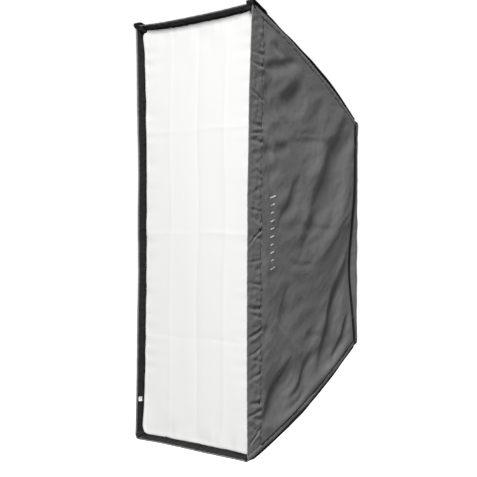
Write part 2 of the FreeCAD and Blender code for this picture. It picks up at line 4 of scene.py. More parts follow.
import bmesh
import bpy
import numpy as np
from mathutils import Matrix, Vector

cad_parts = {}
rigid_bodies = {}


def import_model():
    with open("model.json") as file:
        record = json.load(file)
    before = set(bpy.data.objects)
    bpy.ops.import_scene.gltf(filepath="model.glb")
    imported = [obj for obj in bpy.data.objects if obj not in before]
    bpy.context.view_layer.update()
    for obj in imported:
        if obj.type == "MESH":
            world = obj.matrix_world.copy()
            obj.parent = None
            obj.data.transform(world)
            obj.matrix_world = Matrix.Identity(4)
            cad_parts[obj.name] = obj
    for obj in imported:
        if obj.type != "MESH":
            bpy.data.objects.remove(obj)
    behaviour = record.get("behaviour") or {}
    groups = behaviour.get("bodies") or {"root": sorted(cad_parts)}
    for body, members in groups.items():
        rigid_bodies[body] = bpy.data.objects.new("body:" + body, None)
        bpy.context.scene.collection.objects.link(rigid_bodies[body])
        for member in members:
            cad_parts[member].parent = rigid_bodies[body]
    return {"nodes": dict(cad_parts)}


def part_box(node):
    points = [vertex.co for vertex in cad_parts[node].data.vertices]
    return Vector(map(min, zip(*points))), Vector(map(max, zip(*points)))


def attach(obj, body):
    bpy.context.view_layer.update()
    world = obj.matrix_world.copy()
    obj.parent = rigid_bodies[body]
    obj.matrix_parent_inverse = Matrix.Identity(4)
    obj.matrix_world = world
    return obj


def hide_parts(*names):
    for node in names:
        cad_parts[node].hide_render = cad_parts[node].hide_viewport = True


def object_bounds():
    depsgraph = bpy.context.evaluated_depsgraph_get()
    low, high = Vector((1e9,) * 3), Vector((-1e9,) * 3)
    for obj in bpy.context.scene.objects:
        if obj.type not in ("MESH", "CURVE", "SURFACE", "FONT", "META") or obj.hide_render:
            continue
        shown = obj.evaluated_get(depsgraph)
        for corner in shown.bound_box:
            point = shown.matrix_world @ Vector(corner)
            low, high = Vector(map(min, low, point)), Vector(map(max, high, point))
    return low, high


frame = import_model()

# The softbox in the model's frame, in metres: +Z up, light leaves along -Y, the lamp head
# fastens from +Y. "Depth" is measured backwards from the front rim.
CAD_BOX = [list(corner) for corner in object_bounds()]
FRONT = CAD_BOX[0][1]
RIM_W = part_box("right_lip")[1][0]
RIM_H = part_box("top_lip")[1][2]
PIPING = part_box("shoulder_piping")
# the rear seam's depth and half its height, inside the piping
SEAM = (PIPING[0][1] + PIPING[1][1]) / 2 - FRONT
SEAM_H = PIPING[1][2] - 0.0015
# the rods' centre line: how far inside the shell it runs, and how far it bows outwards
INSET = 0.009
BOW = 0.019
LEAN = (RIM_W - INSET) / (RIM_H - INSET)
# where the rear panels turn over the rods' elbows, and where they meet the speedring
FOLD = 0.617
FOLD_H = 0.361
FOLD_W = INSET + (FOLD_H - INSET) * LEAN
THROAT_D = 0.664
THROAT_R = 0.0875
# the lip's depth, half a sleeve's width, how far a panel is tucked under it, the cloth
LIP = 0.062
STRIP = 0.019
TUCK = 0.0015
CLOTH = 0.0008

SIDES = {"right": (0, 1), "left": (0, -1), "top": (2, 1), "bottom": (2, -1)}
CORNERS = {
    "upper_right": (1, 1),
    "lower_right": (1, -1),
    "lower_left": (-1, -1),
    "upper_left": (-1, 1),
}
# how far each side's middle is drawn inwards at the rim and at the rear seam
RIM_BOW = {"right": 0.004, "left": 0.008, "top": 0.007, "bottom": 0.001}
SEAM_BOW = {"right": 0.013, "left": 0.012, "top": 0.004, "bottom": 0.004}
SEAM_FORWARD = {"right": 0.014, "left": 0.012, "top": 0.004, "bottom": 0.004}
# where along the side the rear seam is drawn in most, from -1 to 1
SEAM_PEAK = {"right": -0.36, "left": -0.15, "top": 0.1, "bottom": -0.1}
SEAM_PEAK_WIDTH = 0.5
# how far from the rim and from the seam the bow is felt, and how flat its middle is
RIM_BOW_DEPTH, SEAM_BOW_DEPTH = 0.16, 0.13
FLATNESS = 2.2


# ------------------------------------------------------------------ the shell's shape


def half_h(d):
    """Half the shell's height at a depth."""
    u = d / SEAM
    return RIM_H + (SEAM_H - RIM_H) * u + 4 * BOW * u * (1 - u)


def half_w(d):
    """Half the shell's width at a depth."""
    return INSET + (half_h(d) - INSET) * LEAN


def reach(side, d):
    """Half the side's length at a depth."""
    return half_h(d) if SIDES[side][0] == 0 else half_w(d)


def middle(side, a, d):
    """1 in the middle of a side, 0 at its ends."""
    return np.clip(1 - np.abs(a / reach(side, d)) ** FLATNESS, 0, 1)


def place(side, a, d, out=0.0):
    """Points of a side: a runs along it, d is the depth, out is outwards from the shell."""
    axis, sign = SIDES[side]
    a, d, out = np.broadcast_arrays(*(np.asarray(values, float) for values in (a, d, out)))
    mid = middle(side, a, d)
    share = (a / reach(side, d) - SEAM_PEAK[side]) / SEAM_PEAK_WIDTH
    drawn = mid * np.exp(-(share**2)) / (1 - abs(SEAM_PEAK[side]) ** FLATNESS)
    u = np.clip(d / SEAM, 0, 1)
    bow = RIM_BOW[side] * np.exp(-d / RIM_BOW_DEPTH) * mid
    bow = bow + SEAM_BOW[side] * np.exp(-(SEAM - d) / SEAM_BOW_DEPTH) * drawn
    d = d - SEAM_FORWARD[side] * drawn * u**5
    across = half_w if axis == 0 else half_h
    slope = (across(d - 0.001) - across(d + 0.001)) / 0.002
    norm = np.sqrt(1 + slope**2)
    lift = out - bow
    points = np.zeros(a.shape + (3,))
    points[..., axis] = sign * (across(d) + lift / norm)
    points[..., 1] = FRONT + d + lift * slope / norm
    points[..., 2 - axis] = a
    return points


def field(seed, x, y, size, stretch=(1.0, 1.0), turn=0.0, waves=14):
    """A smooth random field of about unit height whose features are about size across."""
    rng = np.random.default_rng(seed)
    c, s = math.cos(turn), math.sin(turn)
    x, y = (c * x + s * y) / stretch[0], (c * y - s * x) / stretch[1]
    total = 0
    for _ in range(waves):
        angle, phase = rng.uniform(0, math.tau, 2)
        k = math.tau / (size * rng.uniform(0.7, 1.6))
        total = total + np.sin(k * (math.cos(angle) * x + math.sin(angle) * y) + phase)
    return total / math.sqrt(waves / 2) / 1.6


# ------------------------------------------------------------------ mesh helpers


def add_object(name, verts, faces, uvs=None, smooth=True):
    """A linked mesh object, with its UVs given for each vertex."""
    mesh = bpy.data.meshes.new(name)
    mesh.from_pydata([tuple(map(float, v)) for v in verts], [], faces)
    if uvs is not None:
        layer = mesh.uv_layers.new(name="cloth")
        loops = np.empty(len(mesh.loops), int)
        mesh.loops.foreach_get("vertex_index", loops)
        layer.data.foreach_set("uv", np.asarray(uvs, np.float32)[loops].ravel())
    mesh.update()
    if smooth:
        mesh.shade_smooth()
    piece = bpy.data.objects.new(name, mesh)
    bpy.context.scene.collection.objects.link(piece)
    return piece


def grid_faces(rows, columns, around=False, flip=False):
    """The quads of a grid of vertices; around joins its last column to its first."""
    faces = []
    for i in range(rows - 1):
        for j in range(columns if around else columns - 1):
            k = (j + 1) % columns
            row, after = i * columns, (i + 1) * columns
            quad = (row + j, row + k, after + k, after + j)
            faces.append(quad[::-1] if flip else quad)
    return faces


def cumulative(points, axis):
    """The length run so far along an axis of a grid of points."""
    steps = np.linalg.norm(np.diff(points, axis=axis), axis=-1)
    zero = np.zeros_like(np.take(steps, [0], axis=axis))
    return np.cumsum(np.concatenate([zero, steps], axis=axis), axis=axis)


def add_grid(name, points, flip=False, around=False):
    """A sheet from a grid of points, with its UVs in metres along both directions."""
    faces = grid_faces(*points.shape[:2], around=around, flip=flip)
    uvs = np.stack([cumulative(points, 0), cumulative(points, 1)], -1)
    return add_object(name, points.reshape(-1, 3), faces, uvs.reshape(-1, 2))


def unit(vectors):
    return vectors / np.maximum(np.linalg.norm(vectors, axis=-1, keepdims=True), 1e-9)


def rounded(points, rounds):
    """A path, or the rows of a grid, with its corners rounded and its ends kept."""
    for _ in range(rounds):
        points[1:-1] = (points[:-2] + 2 * points[1:-1] + points[2:]) / 4
    return points


def read_vertices(piece):
    co = np.empty(len(piece.data.vertices) * 3)
    piece.data.vertices.foreach_get("co", co)
    return co.reshape(-1, 3)


def write_vertices(piece, co):
    piece.data.vertices.foreach_set("co", co.reshape(-1))
    piece.data.update()


def faces_in(side):
    """Whether a grid of (along, depth) has to be flipped for its faces to look outwards."""
    axis, sign = SIDES[side]
    return (sign > 0) != (axis == 0)


def thicken(piece, amount=CLOTH, offset=-1.0, inner=None):
    """Cloth thickness; inner is the material slot, counted on, of the inner face."""
    solid = piece.modifiers.new("thickness", "SOLIDIFY")
    solid.thickness = amount
    solid.offset = offset
    if inner is not None:
        solid.material_offset = inner
    return piece


def soften(piece):
    sub = piece.modifiers.new("smooth", "SUBSURF")
    sub.levels = sub.render_levels = 1
    return piece


def frames_along(points, closed):
    """Tangent, side and up directions along a path, with little twist."""
    if closed:
        tangent = np.roll(points, -1, 0) - np.roll(points, 1, 0)
    else:
        tangent = np.gradient(points, axis=0)
    tangent = unit(tangent)
    centre = points.mean(0) if closed else points.mean(0) * [0, 1, 0]
    away = points - centre
    up = unit(away - (away * tangent).sum(1)[:, None] * tangent)
    return tangent, np.cross(tangent, up), up


def add_tube(name, points, radii, sides=10, closed=False):
    """A round bar along a path; its ends are closed to a point when its radii fall to 0."""
    points = np.asarray(points, float)
    radii = np.broadcast_to(np.asarray(radii, float), (len(points),))
    _, across, up = frames_along(points, closed)
    turn = np.linspace(0, math.tau, sides, endpoint=False)
    ring = (
        points[:, None]
        + radii[:, None, None] * np.cos(turn)[None, :, None] * across[:, None]
        + radii[:, None, None] * np.sin(turn)[None, :, None] * up[:, None]
    )
    if closed:
        ring = np.concatenate([ring, ring[:1]])
    along = cumulative(ring, 0)
    round_it = np.broadcast_to(turn / math.tau * 0.02, along.shape)
    faces = grid_faces(len(ring), sides, around=True, flip=True)
    uvs = np.stack([along, round_it], -1).reshape(-1, 2)
    piece = add_object(name, ring.reshape(-1, 3), faces, uvs)
    if closed:
        weld(piece)
    else:
        cap(piece)
    return piece


def weld(piece):
    """Joins a closed tube's last ring to its first."""
    work = bmesh.new()
    work.from_mesh(piece.data)
    bmesh.ops.remove_doubles(work, verts=work.verts, dist=1e-6)
    work.to_mesh(piece.data)
    work.free()


def cap(piece):
    """Closes a tube's or a ribbon's ends."""
    work = bmesh.new()
    work.from_mesh(piece.data)
    open_edges = [e for e in work.edges if e.is_boundary]
    if open_edges:
        bmesh.ops.holes_fill(work, edges=open_edges)
    bmesh.ops.recalc_face_normals(work, faces=work.faces)
    work.to_mesh(piece.data)
    work.free()
    piece.data.shade_smooth()


def add_ribbon(name, points, normals, width, thickness):
    """A flat strap along a path, with rounded edges; normals point away from its face."""
    points, normals = np.asarray(points, float), np.asarray(normals, float)
    normals = np.broadcast_to(normals, points.shape)
    tangent = unit(np.gradient(points, axis=0))
    across = unit(np.cross(tangent, normals))
    up = np.cross(across, tangent)
    width = np.broadcast_to(width, (len(points),))[:, None]
    thickness = np.broadcast_to(thickness, (len(points),))[:, None]
    outline = [(-1, 0.5), (-0.96, 1), (0, 1.08), (0.96, 1), (1, 0.5)]
    outline += [(1, -0.5), (0.96, -1), (0, -1), (-0.96, -1), (-1, -0.5)]
    edges = [points + across * width / 2 * p + up * thickness / 2 * q for p, q in outline]
    piece = add_grid(name, np.stack(edges, 1), around=True)
    cap(piece)
    return piece


def on_line(at, along, values):
    """The values at a length along a line."""
    return np.array([np.interp(at, along, values[:, k]) for k in range(3)])


# a stitch's vertices: its two ends, its two flanks and its top
THREAD_FACES = [(0, 4, 2), (0, 3, 4), (1, 2, 4), (1, 4, 3), (0, 2, 1), (0, 1, 3)]


def add_stitches(name, lines):
    """Short threads along sewing lines; each line is (points, outward directions)."""
    pitch, length, radius = 0.0048, 0.0034, 0.00042
    verts, faces = [], []
    for points, normals in lines:
        points = np.asarray(points, float)
        normals = np.broadcast_to(np.asarray(normals, float), points.shape)
        along = cumulative(points[:, None], 0)[:, 0]
        for at in np.arange(pitch / 2, along[-1] - pitch / 2, pitch):
            ends = [on_line(at + s * length / 2, along, points) for s in (-1, 1)]
            normal = on_line(at, along, normals)
            across = unit(np.cross(ends[1] - ends[0], normal))
            centre = (ends[0] + ends[1]) / 2 + normal * radius
            start = len(verts)
            verts += [end - normal * radius for end in ends]
            verts += [centre + across * radius, centre - across * radius]
            verts.append(centre + normal * radius * 1.4)
            faces += [tuple(start + k for k in corners) for corners in THREAD_FACES]
    return add_object(name, verts, faces)


# ------------------------------------------------------------------ materials


class Shader:
    """Builds one node material step by step."""

    def __init__(self, name, roughness=0.7, metallic=0.0, sheen=0.0):
        self.material = bpy.data.materials.new(name)
        self.material.use_nodes = True
        self.tree = self.material.node_tree
        self.bsdf = self.tree.nodes["Principled BSDF"]
        self.bsdf.inputs["Roughness"].default_value = roughness
        self.bsdf.inputs["Metallic"].default_value = metallic
        self.bsdf.inputs["Sheen Weight"].default_value = sheen
        self.bsdf.inputs["Sheen Roughness"].default_value = 0.4

    def node(self, kind, **values):
        made = self.tree.nodes.new(kind)
        for key, value in values.items():
            if key in made.inputs:
                made.inputs[key].default_value = value
            else:
                setattr(made, key, value)
        return made

    def link(self, source, target):
        self.tree.links.new(source, target)
        return self

    def coordinates(self):
        return self.node("ShaderNodeTexCoord").outputs["Object"]

    def noise(self, scale, detail=4.0, stretch=None, distortion=0.0):
        source = self.coordinates()
        if stretch:
            mapping = self.node("ShaderNodeMapping")
            mapping.inputs["Scale"].default_value = stretch
            self.link(source, mapping.inputs["Vector"])
            source = mapping.outputs["Vector"]
        made = self.node("ShaderNodeTexNoise", Scale=scale, Detail=detail, Distortion=distortion)
        self.link(source, made.inputs["Vector"])
        return made.outputs["Fac"]

    def ramp(self, source, stops):
        made = self.node("ShaderNodeValToRGB")
        elements = made.color_ramp.elements
        while len(elements) < len(stops):
            elements.new(0.5)
        for element, (at, colour) in zip(elements, stops):
            element.position = at
            element.color = (*colour, 1)
        self.link(source, made.inputs["Fac"])
        return made.outputs["Color"]

    def range(self, source, low, high, to_low, to_high):
        made = self.node("ShaderNodeMapRange")
        limits = {"From Min": low, "From Max": high, "To Min": to_low, "To Max": to_high}
        for key, value in limits.items():
            made.inputs[key].default_value = value
        self.link(source, made.inputs["Value"])
        return made.outputs["Result"]

    def maths(self, operation, a, b):
        made = self.node("ShaderNodeMath", operation=operation)
        for socket, value in zip(made.inputs, (a, b)):
            if isinstance(value, (int, float)):
                socket.default_value = value
            else:
                self.link(value, socket)
        return made.outputs["Value"]

    def weave(self):
        """Crossed threads, from UVs in metres."""
        threads = 1400.0
        source = self.node("ShaderNodeUVMap").outputs["UV"]
        bands = []
        for direction in ("X", "Y"):
            wave = self.node("ShaderNodeTexWave", bands_direction=direction)
            values = {"Scale": threads / math.tau, "Distortion": 0.6, "Detail": 1.0}
            for key, value in values.items():
                wave.inputs[key].default_value = value
            self.link(source, wave.inputs["Vector"])
            bands.append(wave.outputs["Fac"])
        return self.maths("MULTIPLY", *bands)

    def bump(self, height, distance, strength=1.0, before=None):
        made = self.node("ShaderNodeBump", Strength=strength, Distance=distance)
        self.link(height, made.inputs["Height"])
        if before is not None:
            self.link(before, made.inputs["Normal"])
        return made.outputs["Normal"]

    def finish(self, colour=None, roughness=None, normal=None):
        if colour is not None:
            self.link(colour, self.bsdf.inputs["Base Color"])
        if roughness is not None:
            self.link(roughness, self.bsdf.inputs["Roughness"])
        if normal is not None:
            self.link(normal, self.bsdf.inputs["Normal"])
        return self.material


def tint(colour, factor):
    """A lighter or darker colour."""
    return tuple(min(1.0, c * factor) for c in colour)


def cloth_material(name, colour, roughness, sheen, spread=0.12, weave=0.00012, crease=0.0004):
    """Woven cloth: thread relief, slow colour change, and small handling creases."""
    s = Shader(name, roughness, sheen=sheen)
    s.bsdf.inputs["Specular IOR Level"].default_value = 0.35
    slow = s.noise(3.5, 3.0)
    fine = s.noise(420.0, 2.0)
    mixed = s.maths("ADD", s.maths("MULTIPLY", slow, 0.75), s.maths("MULTIPLY", fine, 0.25))
    tone = s.ramp(mixed, [(0.3, tint(colour, 1 - spread)), (0.7, tint(colour, 1 + spread))])
    rough = s.range(s.noise(14.0, 4.0), 0.3, 0.7, roughness - 0.05, roughness + 0.07)
    creases = s.bump(s.noise(26.0, 5.0, distortion=0.8), crease, 0.8)
    creases = s.bump(s.noise(75.0, 4.0, distortion=1.2), crease / 2, 0.8, creases)
    threads = s.bump(s.weave(), weave, 0.6, creases)
    return s.finish(tone, rough, threads)


def silver_material():
    """The pebbled silver lining."""
    s = Shader("silver_lining", 0.34, metallic=0.85)
    pebbles = s.node("ShaderNodeTexVoronoi", Scale=320.0)
    s.link(s.coordinates(), pebbles.inputs["Vector"])
    tone = s.ramp(s.noise(9.0, 3.0), [(0.3, (0.62, 0.63, 0.65)), (0.7, (0.78, 0.79, 0.81))])
    folds = s.bump(s.noise(30.0, 4.0), 0.0006, 0.5)
    return s.finish(tone, None, s.bump(pebbles.outputs["Distance"], 0.0004, 0.7, folds))


def tape_material():
    """Black loop tape: a short, dense, slightly matted pile."""
    s = Shader("loop_tape", 0.95, sheen=0.5)
    pile = s.noise(1500.0, 3.0)
    matted = s.noise(90.0, 4.0)
    tone = s.ramp(matted, [(0.3, (0.012, 0.012, 0.013)), (0.75, (0.032, 0.032, 0.034))])
    return s.finish(tone, None, s.bump(pile, 0.0006, 0.9, s.bump(matted, 0.0005, 0.5)))


def metal_material(name, colour, roughness, metallic=1.0, grain=(1.0, 1.0, 1.0), wear=0.3):
    """Machined or coated metal, with fine marks along the grain and handling wear."""
    s = Shader(name, roughness, metallic=metallic)
    marks = s.noise(260.0, 3.0, stretch=grain)
    smudge = s.noise(35.0, 4.0)
    tone = s.ramp(smudge, [(0.3, tint(colour, 1 - wear)), (0.7, tint(colour, 1 + wear))])
    mixed = s.maths("ADD", s.maths("MULTIPLY", marks, 0.5), s.maths("MULTIPLY", smudge, 0.5))
    rough = s.range(mixed, 0.3, 0.7, roughness - 0.08, roughness + 0.1)
    return s.finish(tone, rough, s.bump(marks, 0.00006, 0.6))


def plastic_material(name, colour, roughness):
    """Moulded plastic with a fine spark-eroded texture."""
    s = Shader(name, roughness)
    grain = s.noise(900.0, 2.0)
    smudge = s.noise(60.0, 3.0)
    tone = s.ramp(smudge, [(0.3, tint(colour, 0.85)), (0.7, tint(colour, 1.2))])
    rough = s.range(smudge, 0.3, 0.7, roughness - 0.06, roughness + 0.08)
    return s.finish(tone, rough, s.bump(grain, 0.00008, 0.6))


GREY = cloth_material("grey_satin", (0.178, 0.178, 0.181), 0.54, 0.25, crease=0.0024)
BLACK = cloth_material("black_cloth", (0.011, 0.011, 0.0115), 0.8, 0.06, 0.2)
BINDING = cloth_material("black_binding", (0.006, 0.006, 0.0065), 0.85, 0.03, 0.25, 0.0003)
WHITE = cloth_material("white_cloth", (0.82, 0.82, 0.815), 0.8, 0.1, 0.01, 0.0001, 0.0002)
LABEL = cloth_material("label_cloth", (0.82, 0.82, 0.81), 0.6, 0.1, 0.04)
SILVER = silver_material()
TAPE = tape_material()
THREAD = cloth_material("thread", (0.03, 0.03, 0.031), 0.6, 0.3, 0.3, 0.00005)
PRINT_WHITE = cloth_material("print_white", (0.86, 0.86, 0.86), 0.4, 0.0, 0.03, 0.00008)
RING = metal_material("black_coated_ring", (0.022, 0.022, 0.024), 0.42, 0.3)
INSERT = metal_material("turned_aluminium", (0.7, 0.71, 0.73), 0.3, 1.0, (1.0, 14.0, 1.0), 0.08)
STEEL = metal_material("spring_steel", (0.5, 0.5, 0.52), 0.32, 1.0, (8.0, 1.0, 8.0), 0.15)
PLASTIC = plastic_material("black_plastic", (0.018, 0.018, 0.018), 0.5)
FERRULE = plastic_material("red_plastic", (0.4, 0.03, 0.025), 0.3)


def finish(piece, slot, *materials, body="box", stands_for=()):
    """Gives a new piece its materials and its body, and hides the CAD nodes that it stands for."""
    for material in materials:
        piece.data.materials.append(material)
    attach(piece, body)
    if stands_for:
        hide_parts(*stands_for)
    return piece


# ------------------------------------------------------------------ main panels

# Soft folds of the main panels: a path of (depth, place along the side) down the fold's steep
# wall, how deep the fold is, half that wall's width, and how many times wider its other wall is.
FOLDS = {
    "right": [
        (
            [(0.54, 0.39), (0.48, 0.30), (0.43, 0.25), (0.35, 0.13), (0.29, -0.01), (0.25, -0.08)],
            0.017, 0.026, 2.0,
        ),
        (
            [(0.26, 0.18), (0.23, 0.15), (0.20, 0.09), (0.15, 0.045), (0.12, 0.01)],
            0.007, 0.012, 1.7,
        ),
        (
            [(0.57, -0.07), (0.50, -0.15), (0.46, -0.22), (0.43, -0.27), (0.39, -0.37), (0.37, -0.42)],
            0.018, 0.016, 2.6,
        ),
        (
            [(0.58, -0.24), (0.55, -0.28), (0.52, -0.325), (0.48, -0.37), (0.45, -0.40)],
            0.010, 0.010, 1.8,
        ),
        (
            [
                (0.23, -0.34), (0.18, -0.40), (0.15, -0.43),
                (0.115, -0.465), (0.085, -0.505), (0.065, -0.54),
            ],
            0.019, 0.018, 2.0,
        ),
        ([(0.26, 0.515), (0.19, 0.51), (0.12, 0.495), (0.066, 0.478)], 0.008, 0.007, 2.5),
        ([(0.24, 0.515), (0.19, 0.52), (0.13, 0.545), (0.085, 0.555)], 0.003, 0.006, 1.5),
        ([(0.28, 0.45), (0.22, 0.43), (0.15, 0.40)], 0.009, 0.019, 1.5),
        ([(0.10, 0.415), (0.064, 0.42)], 0.004, 0.008, 1.5),
        ([(0.13, 0.235), (0.09, 0.25), (0.062, 0.256)], 0.008, 0.008, 1.8),
        ([(0.20, 0.265), (0.12, 0.26)], 0.006, 0.011, 1.5),
        (
            [(0.49, 0.285), (0.40, 0.29), (0.32, 0.288), (0.25, 0.283), (0.20, 0.277)],
            0.0040, 0.005, 2.0,
        ),
        ([(0.41, 0.312), (0.30, 0.309), (0.22, 0.302)], 0.0028, 0.005, 2.0),
        ([(0.57, 0.02), (0.43, 0.02), (0.34, 0.03), (0.25, 0.032)], 0.0040, 0.007, 1.5),
        ([(0.37, -0.09), (0.28, -0.09), (0.20, -0.08)], 0.0030, 0.006, 1.5),
        ([(0.11, -0.27), (0.062, -0.278)], 0.007, 0.008, 1.8),
        ([(0.39, -0.31), (0.31, -0.302)], 0.0040, 0.005, 2.0),
        ([(0.33, -0.36), (0.31, -0.39), (0.26, -0.45), (0.20, -0.50)], 0.008, 0.010, 1.2),
        ([(0.20, -0.14), (0.175, -0.21), (0.14, -0.27)], 0.006, 0.017, 1.2),
        ([(0.30, -0.46), (0.25, -0.50), (0.19, -0.535)], 0.006, 0.009, 1.3),
    ],
    "left": [
        ([(0.56, 0.30), (0.48, 0.20), (0.40, 0.06), (0.35, -0.06)], 0.014, 0.020, 2.0),
        ([(0.10, 0.50), (0.18, 0.43), (0.25, 0.33), (0.28, 0.22)], 0.012, 0.016, 1.8),
        ([(0.42, -0.10), (0.33, -0.22), (0.22, -0.36), (0.12, -0.48)], 0.015, 0.018, 2.0),
        ([(0.56, -0.18), (0.49, -0.28), (0.45, -0.38)], 0.011, 0.012, 1.8),
        ([(0.30, 0.05), (0.20, -0.04), (0.13, -0.10)], 0.007, 0.010, 1.6),
        ([(0.13, 0.24), (0.09, 0.25), (0.062, 0.25)], 0.007, 0.008, 1.5),
        ([(0.50, 0.05), (0.40, 0.06), (0.30, 0.05)], 0.003, 0.006, 1.5),
    ],
    "top": [
        ([(0.50, 0.08), (0.40, 0.02), (0.28, -0.03), (0.16, -0.12)], 0.011, 0.015, 1.8),
        ([(0.36, -0.10), (0.25, -0.13), (0.12, -0.17)], 0.008, 0.010, 1.6),
        ([(0.22, 0.13), (0.15, 0.10), (0.07, 0.09)], 0.007, 0.010, 1.6),
        ([(0.54, -0.06), (0.46, -0.08), (0.38, -0.07)], 0.006, 0.009, 1.5),
    ],
    "bottom": [
        ([(0.52, -0.06), (0.40, 0.00), (0.28, 0.04), (0.14, 0.13)], 0.011, 0.015, 1.8),
        ([(0.33, -0.12), (0.22, -0.10), (0.10, -0.12)], 0.008, 0.010, 1.6),
        ([(0.45, 0.09), (0.36, 0.12), (0.26, 0.14)], 0.006, 0.009, 1.5),
    ],
}
# every fold's depth is multiplied by this
FOLD_GAIN = 1.5
# round hollows in the right panel: their (depth, height), how deep they are, and their radius
HOLLOWS = {"right": [((0.235, 0.378), 0.008, 0.055), ((0.30, -0.43), 0.007, 0.045)]}
# gathers in the lips: their place along the side, how deep each is, and how far it leans
PUCKERS = {
    "right": [
        (0.510, 0.0026, 0.05), (0.475, 0.0044, 0.05), (0.447, 0.0022, -0.2),
        (0.378, 0.0042, 0.5), (0.306, 0.0032, 0.0), (0.287, 0.0032, 0.0),
        (0.258, 0.0052, 0.12), (0.165, 0.0036, 0.5), (0.130, 0.0016, -0.3),
        (0.060, 0.0028, 0.15), (0.028, 0.0036, 0.3), (0.008, 0.0042, -0.65),
        (-0.020, 0.0026, 0.3), (-0.078, 0.0030, -0.2), (-0.110, 0.0022, 0.3),
        (-0.150, 0.0032, 0.1), (-0.218, 0.0046, 0.0), (-0.245, 0.0026, 0.4),
        (-0.280, 0.0058, -0.35), (-0.330, 0.0032, -0.5), (-0.370, 0.0024, 0.3),
        (-0.403, 0.0038, -0.3), (-0.440, 0.0024, 0.4), (-0.488, 0.0056, 0.12),
        (-0.508, 0.0042, -0.25), (-0.535, 0.0030, 0.2), (-0.560, 0.0044, -0.7),
        (-0.575, 0.0032, 0.6),
    ]
}


def random_puckers(side, seed):
    """Gathers for a lip that the photo doesn't show, about 28 mm apart."""
    rng = np.random.default_rng(seed)
    span = reach(side, 0.03) - 0.05
    count = int(span / 0.028)
    places = np.linspace(-span, span, count) + rng.normal(0, 0.009, count)
    return list(zip(places, rng.uniform(0.0012, 0.0042, count), rng.normal(0, 0.3, count)))


for number, name in enumerate(("left", "top", "bottom")):
    PUCKERS[name] = random_puckers(name, 31 + number)


def along_path(path, a, d):
    """Signed distance from a smooth path of (depth, along) points, and the share along it."""
    path = np.array(path, float)
    spread = np.linspace(0, len(path) - 1, 60)
    fine = np.stack([np.interp(spread, np.arange(len(path)), path[:, k]) for k in (0, 1)], 1)
    fine = rounded(fine, 6)
    best = np.full(a.shape, 1e9)
    side, share = np.zeros(a.shape), np.zeros(a.shape)
    for k in range(len(fine) - 1):
        start, way = fine[k], fine[k + 1] - fine[k]
        length = max(np.hypot(*way), 1e-9)
        way = way / length
        u, v = d - start[0], a - start[1]
        run = np.clip(u * way[0] + v * way[1], 0, length)
        off = np.hypot(u - run * way[0], v - run * way[1])
        sign = np.sign(v * way[0] - u * way[1])
        closer = off < best
        best = np.where(closer, off, best)
        side = np.where(closer, sign * off, side)
        share = np.where(closer, (k + run / length) / (len(fine) - 1), share)
    return side, share


def fold_relief(side, a, d):
    """Outward displacement of the long folds, each with one steep wall and one gentle one."""
    out = np.zeros(a.shape)
    for path, depth, width, gentle in FOLDS.get(side, ()):
        signed, share = along_path(path, a, d)
        fade = np.clip(np.sin(np.pi * np.clip(share, 0.0, 1.0)), 0, 1) ** 0.7
        past = signed - width
        spread = np.where(past < 0, 1.1 * width, 1.6 * gentle * width)
        out -= FOLD_GAIN * depth * fade * np.exp(-((past / spread) ** 2))
    for (at_d, at_a), depth, width in HOLLOWS.get(side, ()):
        out -= depth * np.exp(-(((d - at_d) ** 2 + (a - at_a) ** 2) / width**2))
    return out


def pucker_relief(side, a, d):
    """Gathers that run across the lip and die out a little way into the main panel."""
    out = np.zeros(a.shape)
    before = np.clip(d / LIP, 0, 1)
    ahead = 0.05 + 0.95 * np.sin(np.pi * np.clip(0.68 * before, 0, 1)) ** 1.2
    strength = np.where(d < LIP, ahead, 0.82 * np.exp(-(d - LIP) / 0.024))
    for k, (at, depth, tilt) in enumerate(PUCKERS[side]):
        width = 0.0038 + 0.0026 * (0.5 + 0.5 * math.sin(3.3 * k))
        off = a - at - tilt * (LIP - d) - 2.5 * math.sin(2.1 * k) * (LIP - d) ** 2
        valley = -np.exp(-((off / width) ** 2))
        below = 0.55 * np.exp(-(((off + 1.8 * width) / (1.3 * width)) ** 2))
        above = 0.25 * np.exp(-(((off - 1.8 * width) / (1.2 * width)) ** 2))
        out += depth * (valley + below + above) * strength
    return out


PANEL_END = SEAM - 0.0035
PANEL_ROWS = {"right": 134, "left": 134, "top": 54, "bottom": 54}
PANEL_COLUMNS = 58


def panel_reach(side, d):
    """How far a main panel reaches along its side."""
    return reach(side, d) - STRIP + TUCK


def panel_grid(side):
    """Grid of (along, depth) over a main panel, from sleeve to sleeve and seam to seam."""
    share = np.linspace(-1, 1, PANEL_ROWS[side])[:, None]
    d = np.linspace(LIP, PANEL_END, PANEL_COLUMNS)[None, :]
    return np.broadcast_arrays(share * panel_reach(side, d), d)


def main_panel(side):
    """A main panel: sewn shape, long folds, and a cloth run that lets it buckle and settle."""
    a, d = panel_grid(side)
    edge = np.minimum(
        np.clip((reach(side, d) - STRIP - np.abs(a)) / 0.03, 0, 1),
        np.clip(np.minimum(d - LIP, PANEL_END - d) / 0.03, 0, 1),
    )
    edge = edge * edge * (3 - 2 * edge)
    seed = 100 + 10 * list(SIDES).index(side)
    wander = field(seed, a, d, 0.16) * 0.0035
    drag = field(seed + 1, a, d, 0.05, (2.6, 1.0), turn=0.95) * 0.0020
    fine = field(seed + 5, a, d, 0.024, (1.5, 1.0), turn=0.6, waves=24) * 0.0009
    fine = fine * (0.6 + 1.4 * np.exp(-(d - LIP) / 0.05))
    relief = edge * (wander + drag + fine + fold_relief(side, a, d))
    relief = relief + pucker_relief(side, a, d) - 0.0012 * (1 - edge)
    points = place(side, a, d, relief)
    piece = add_grid(f"{side}_panel_cloth", points, faces_in(side))
    settle(piece, side, a, d, points)
    return piece


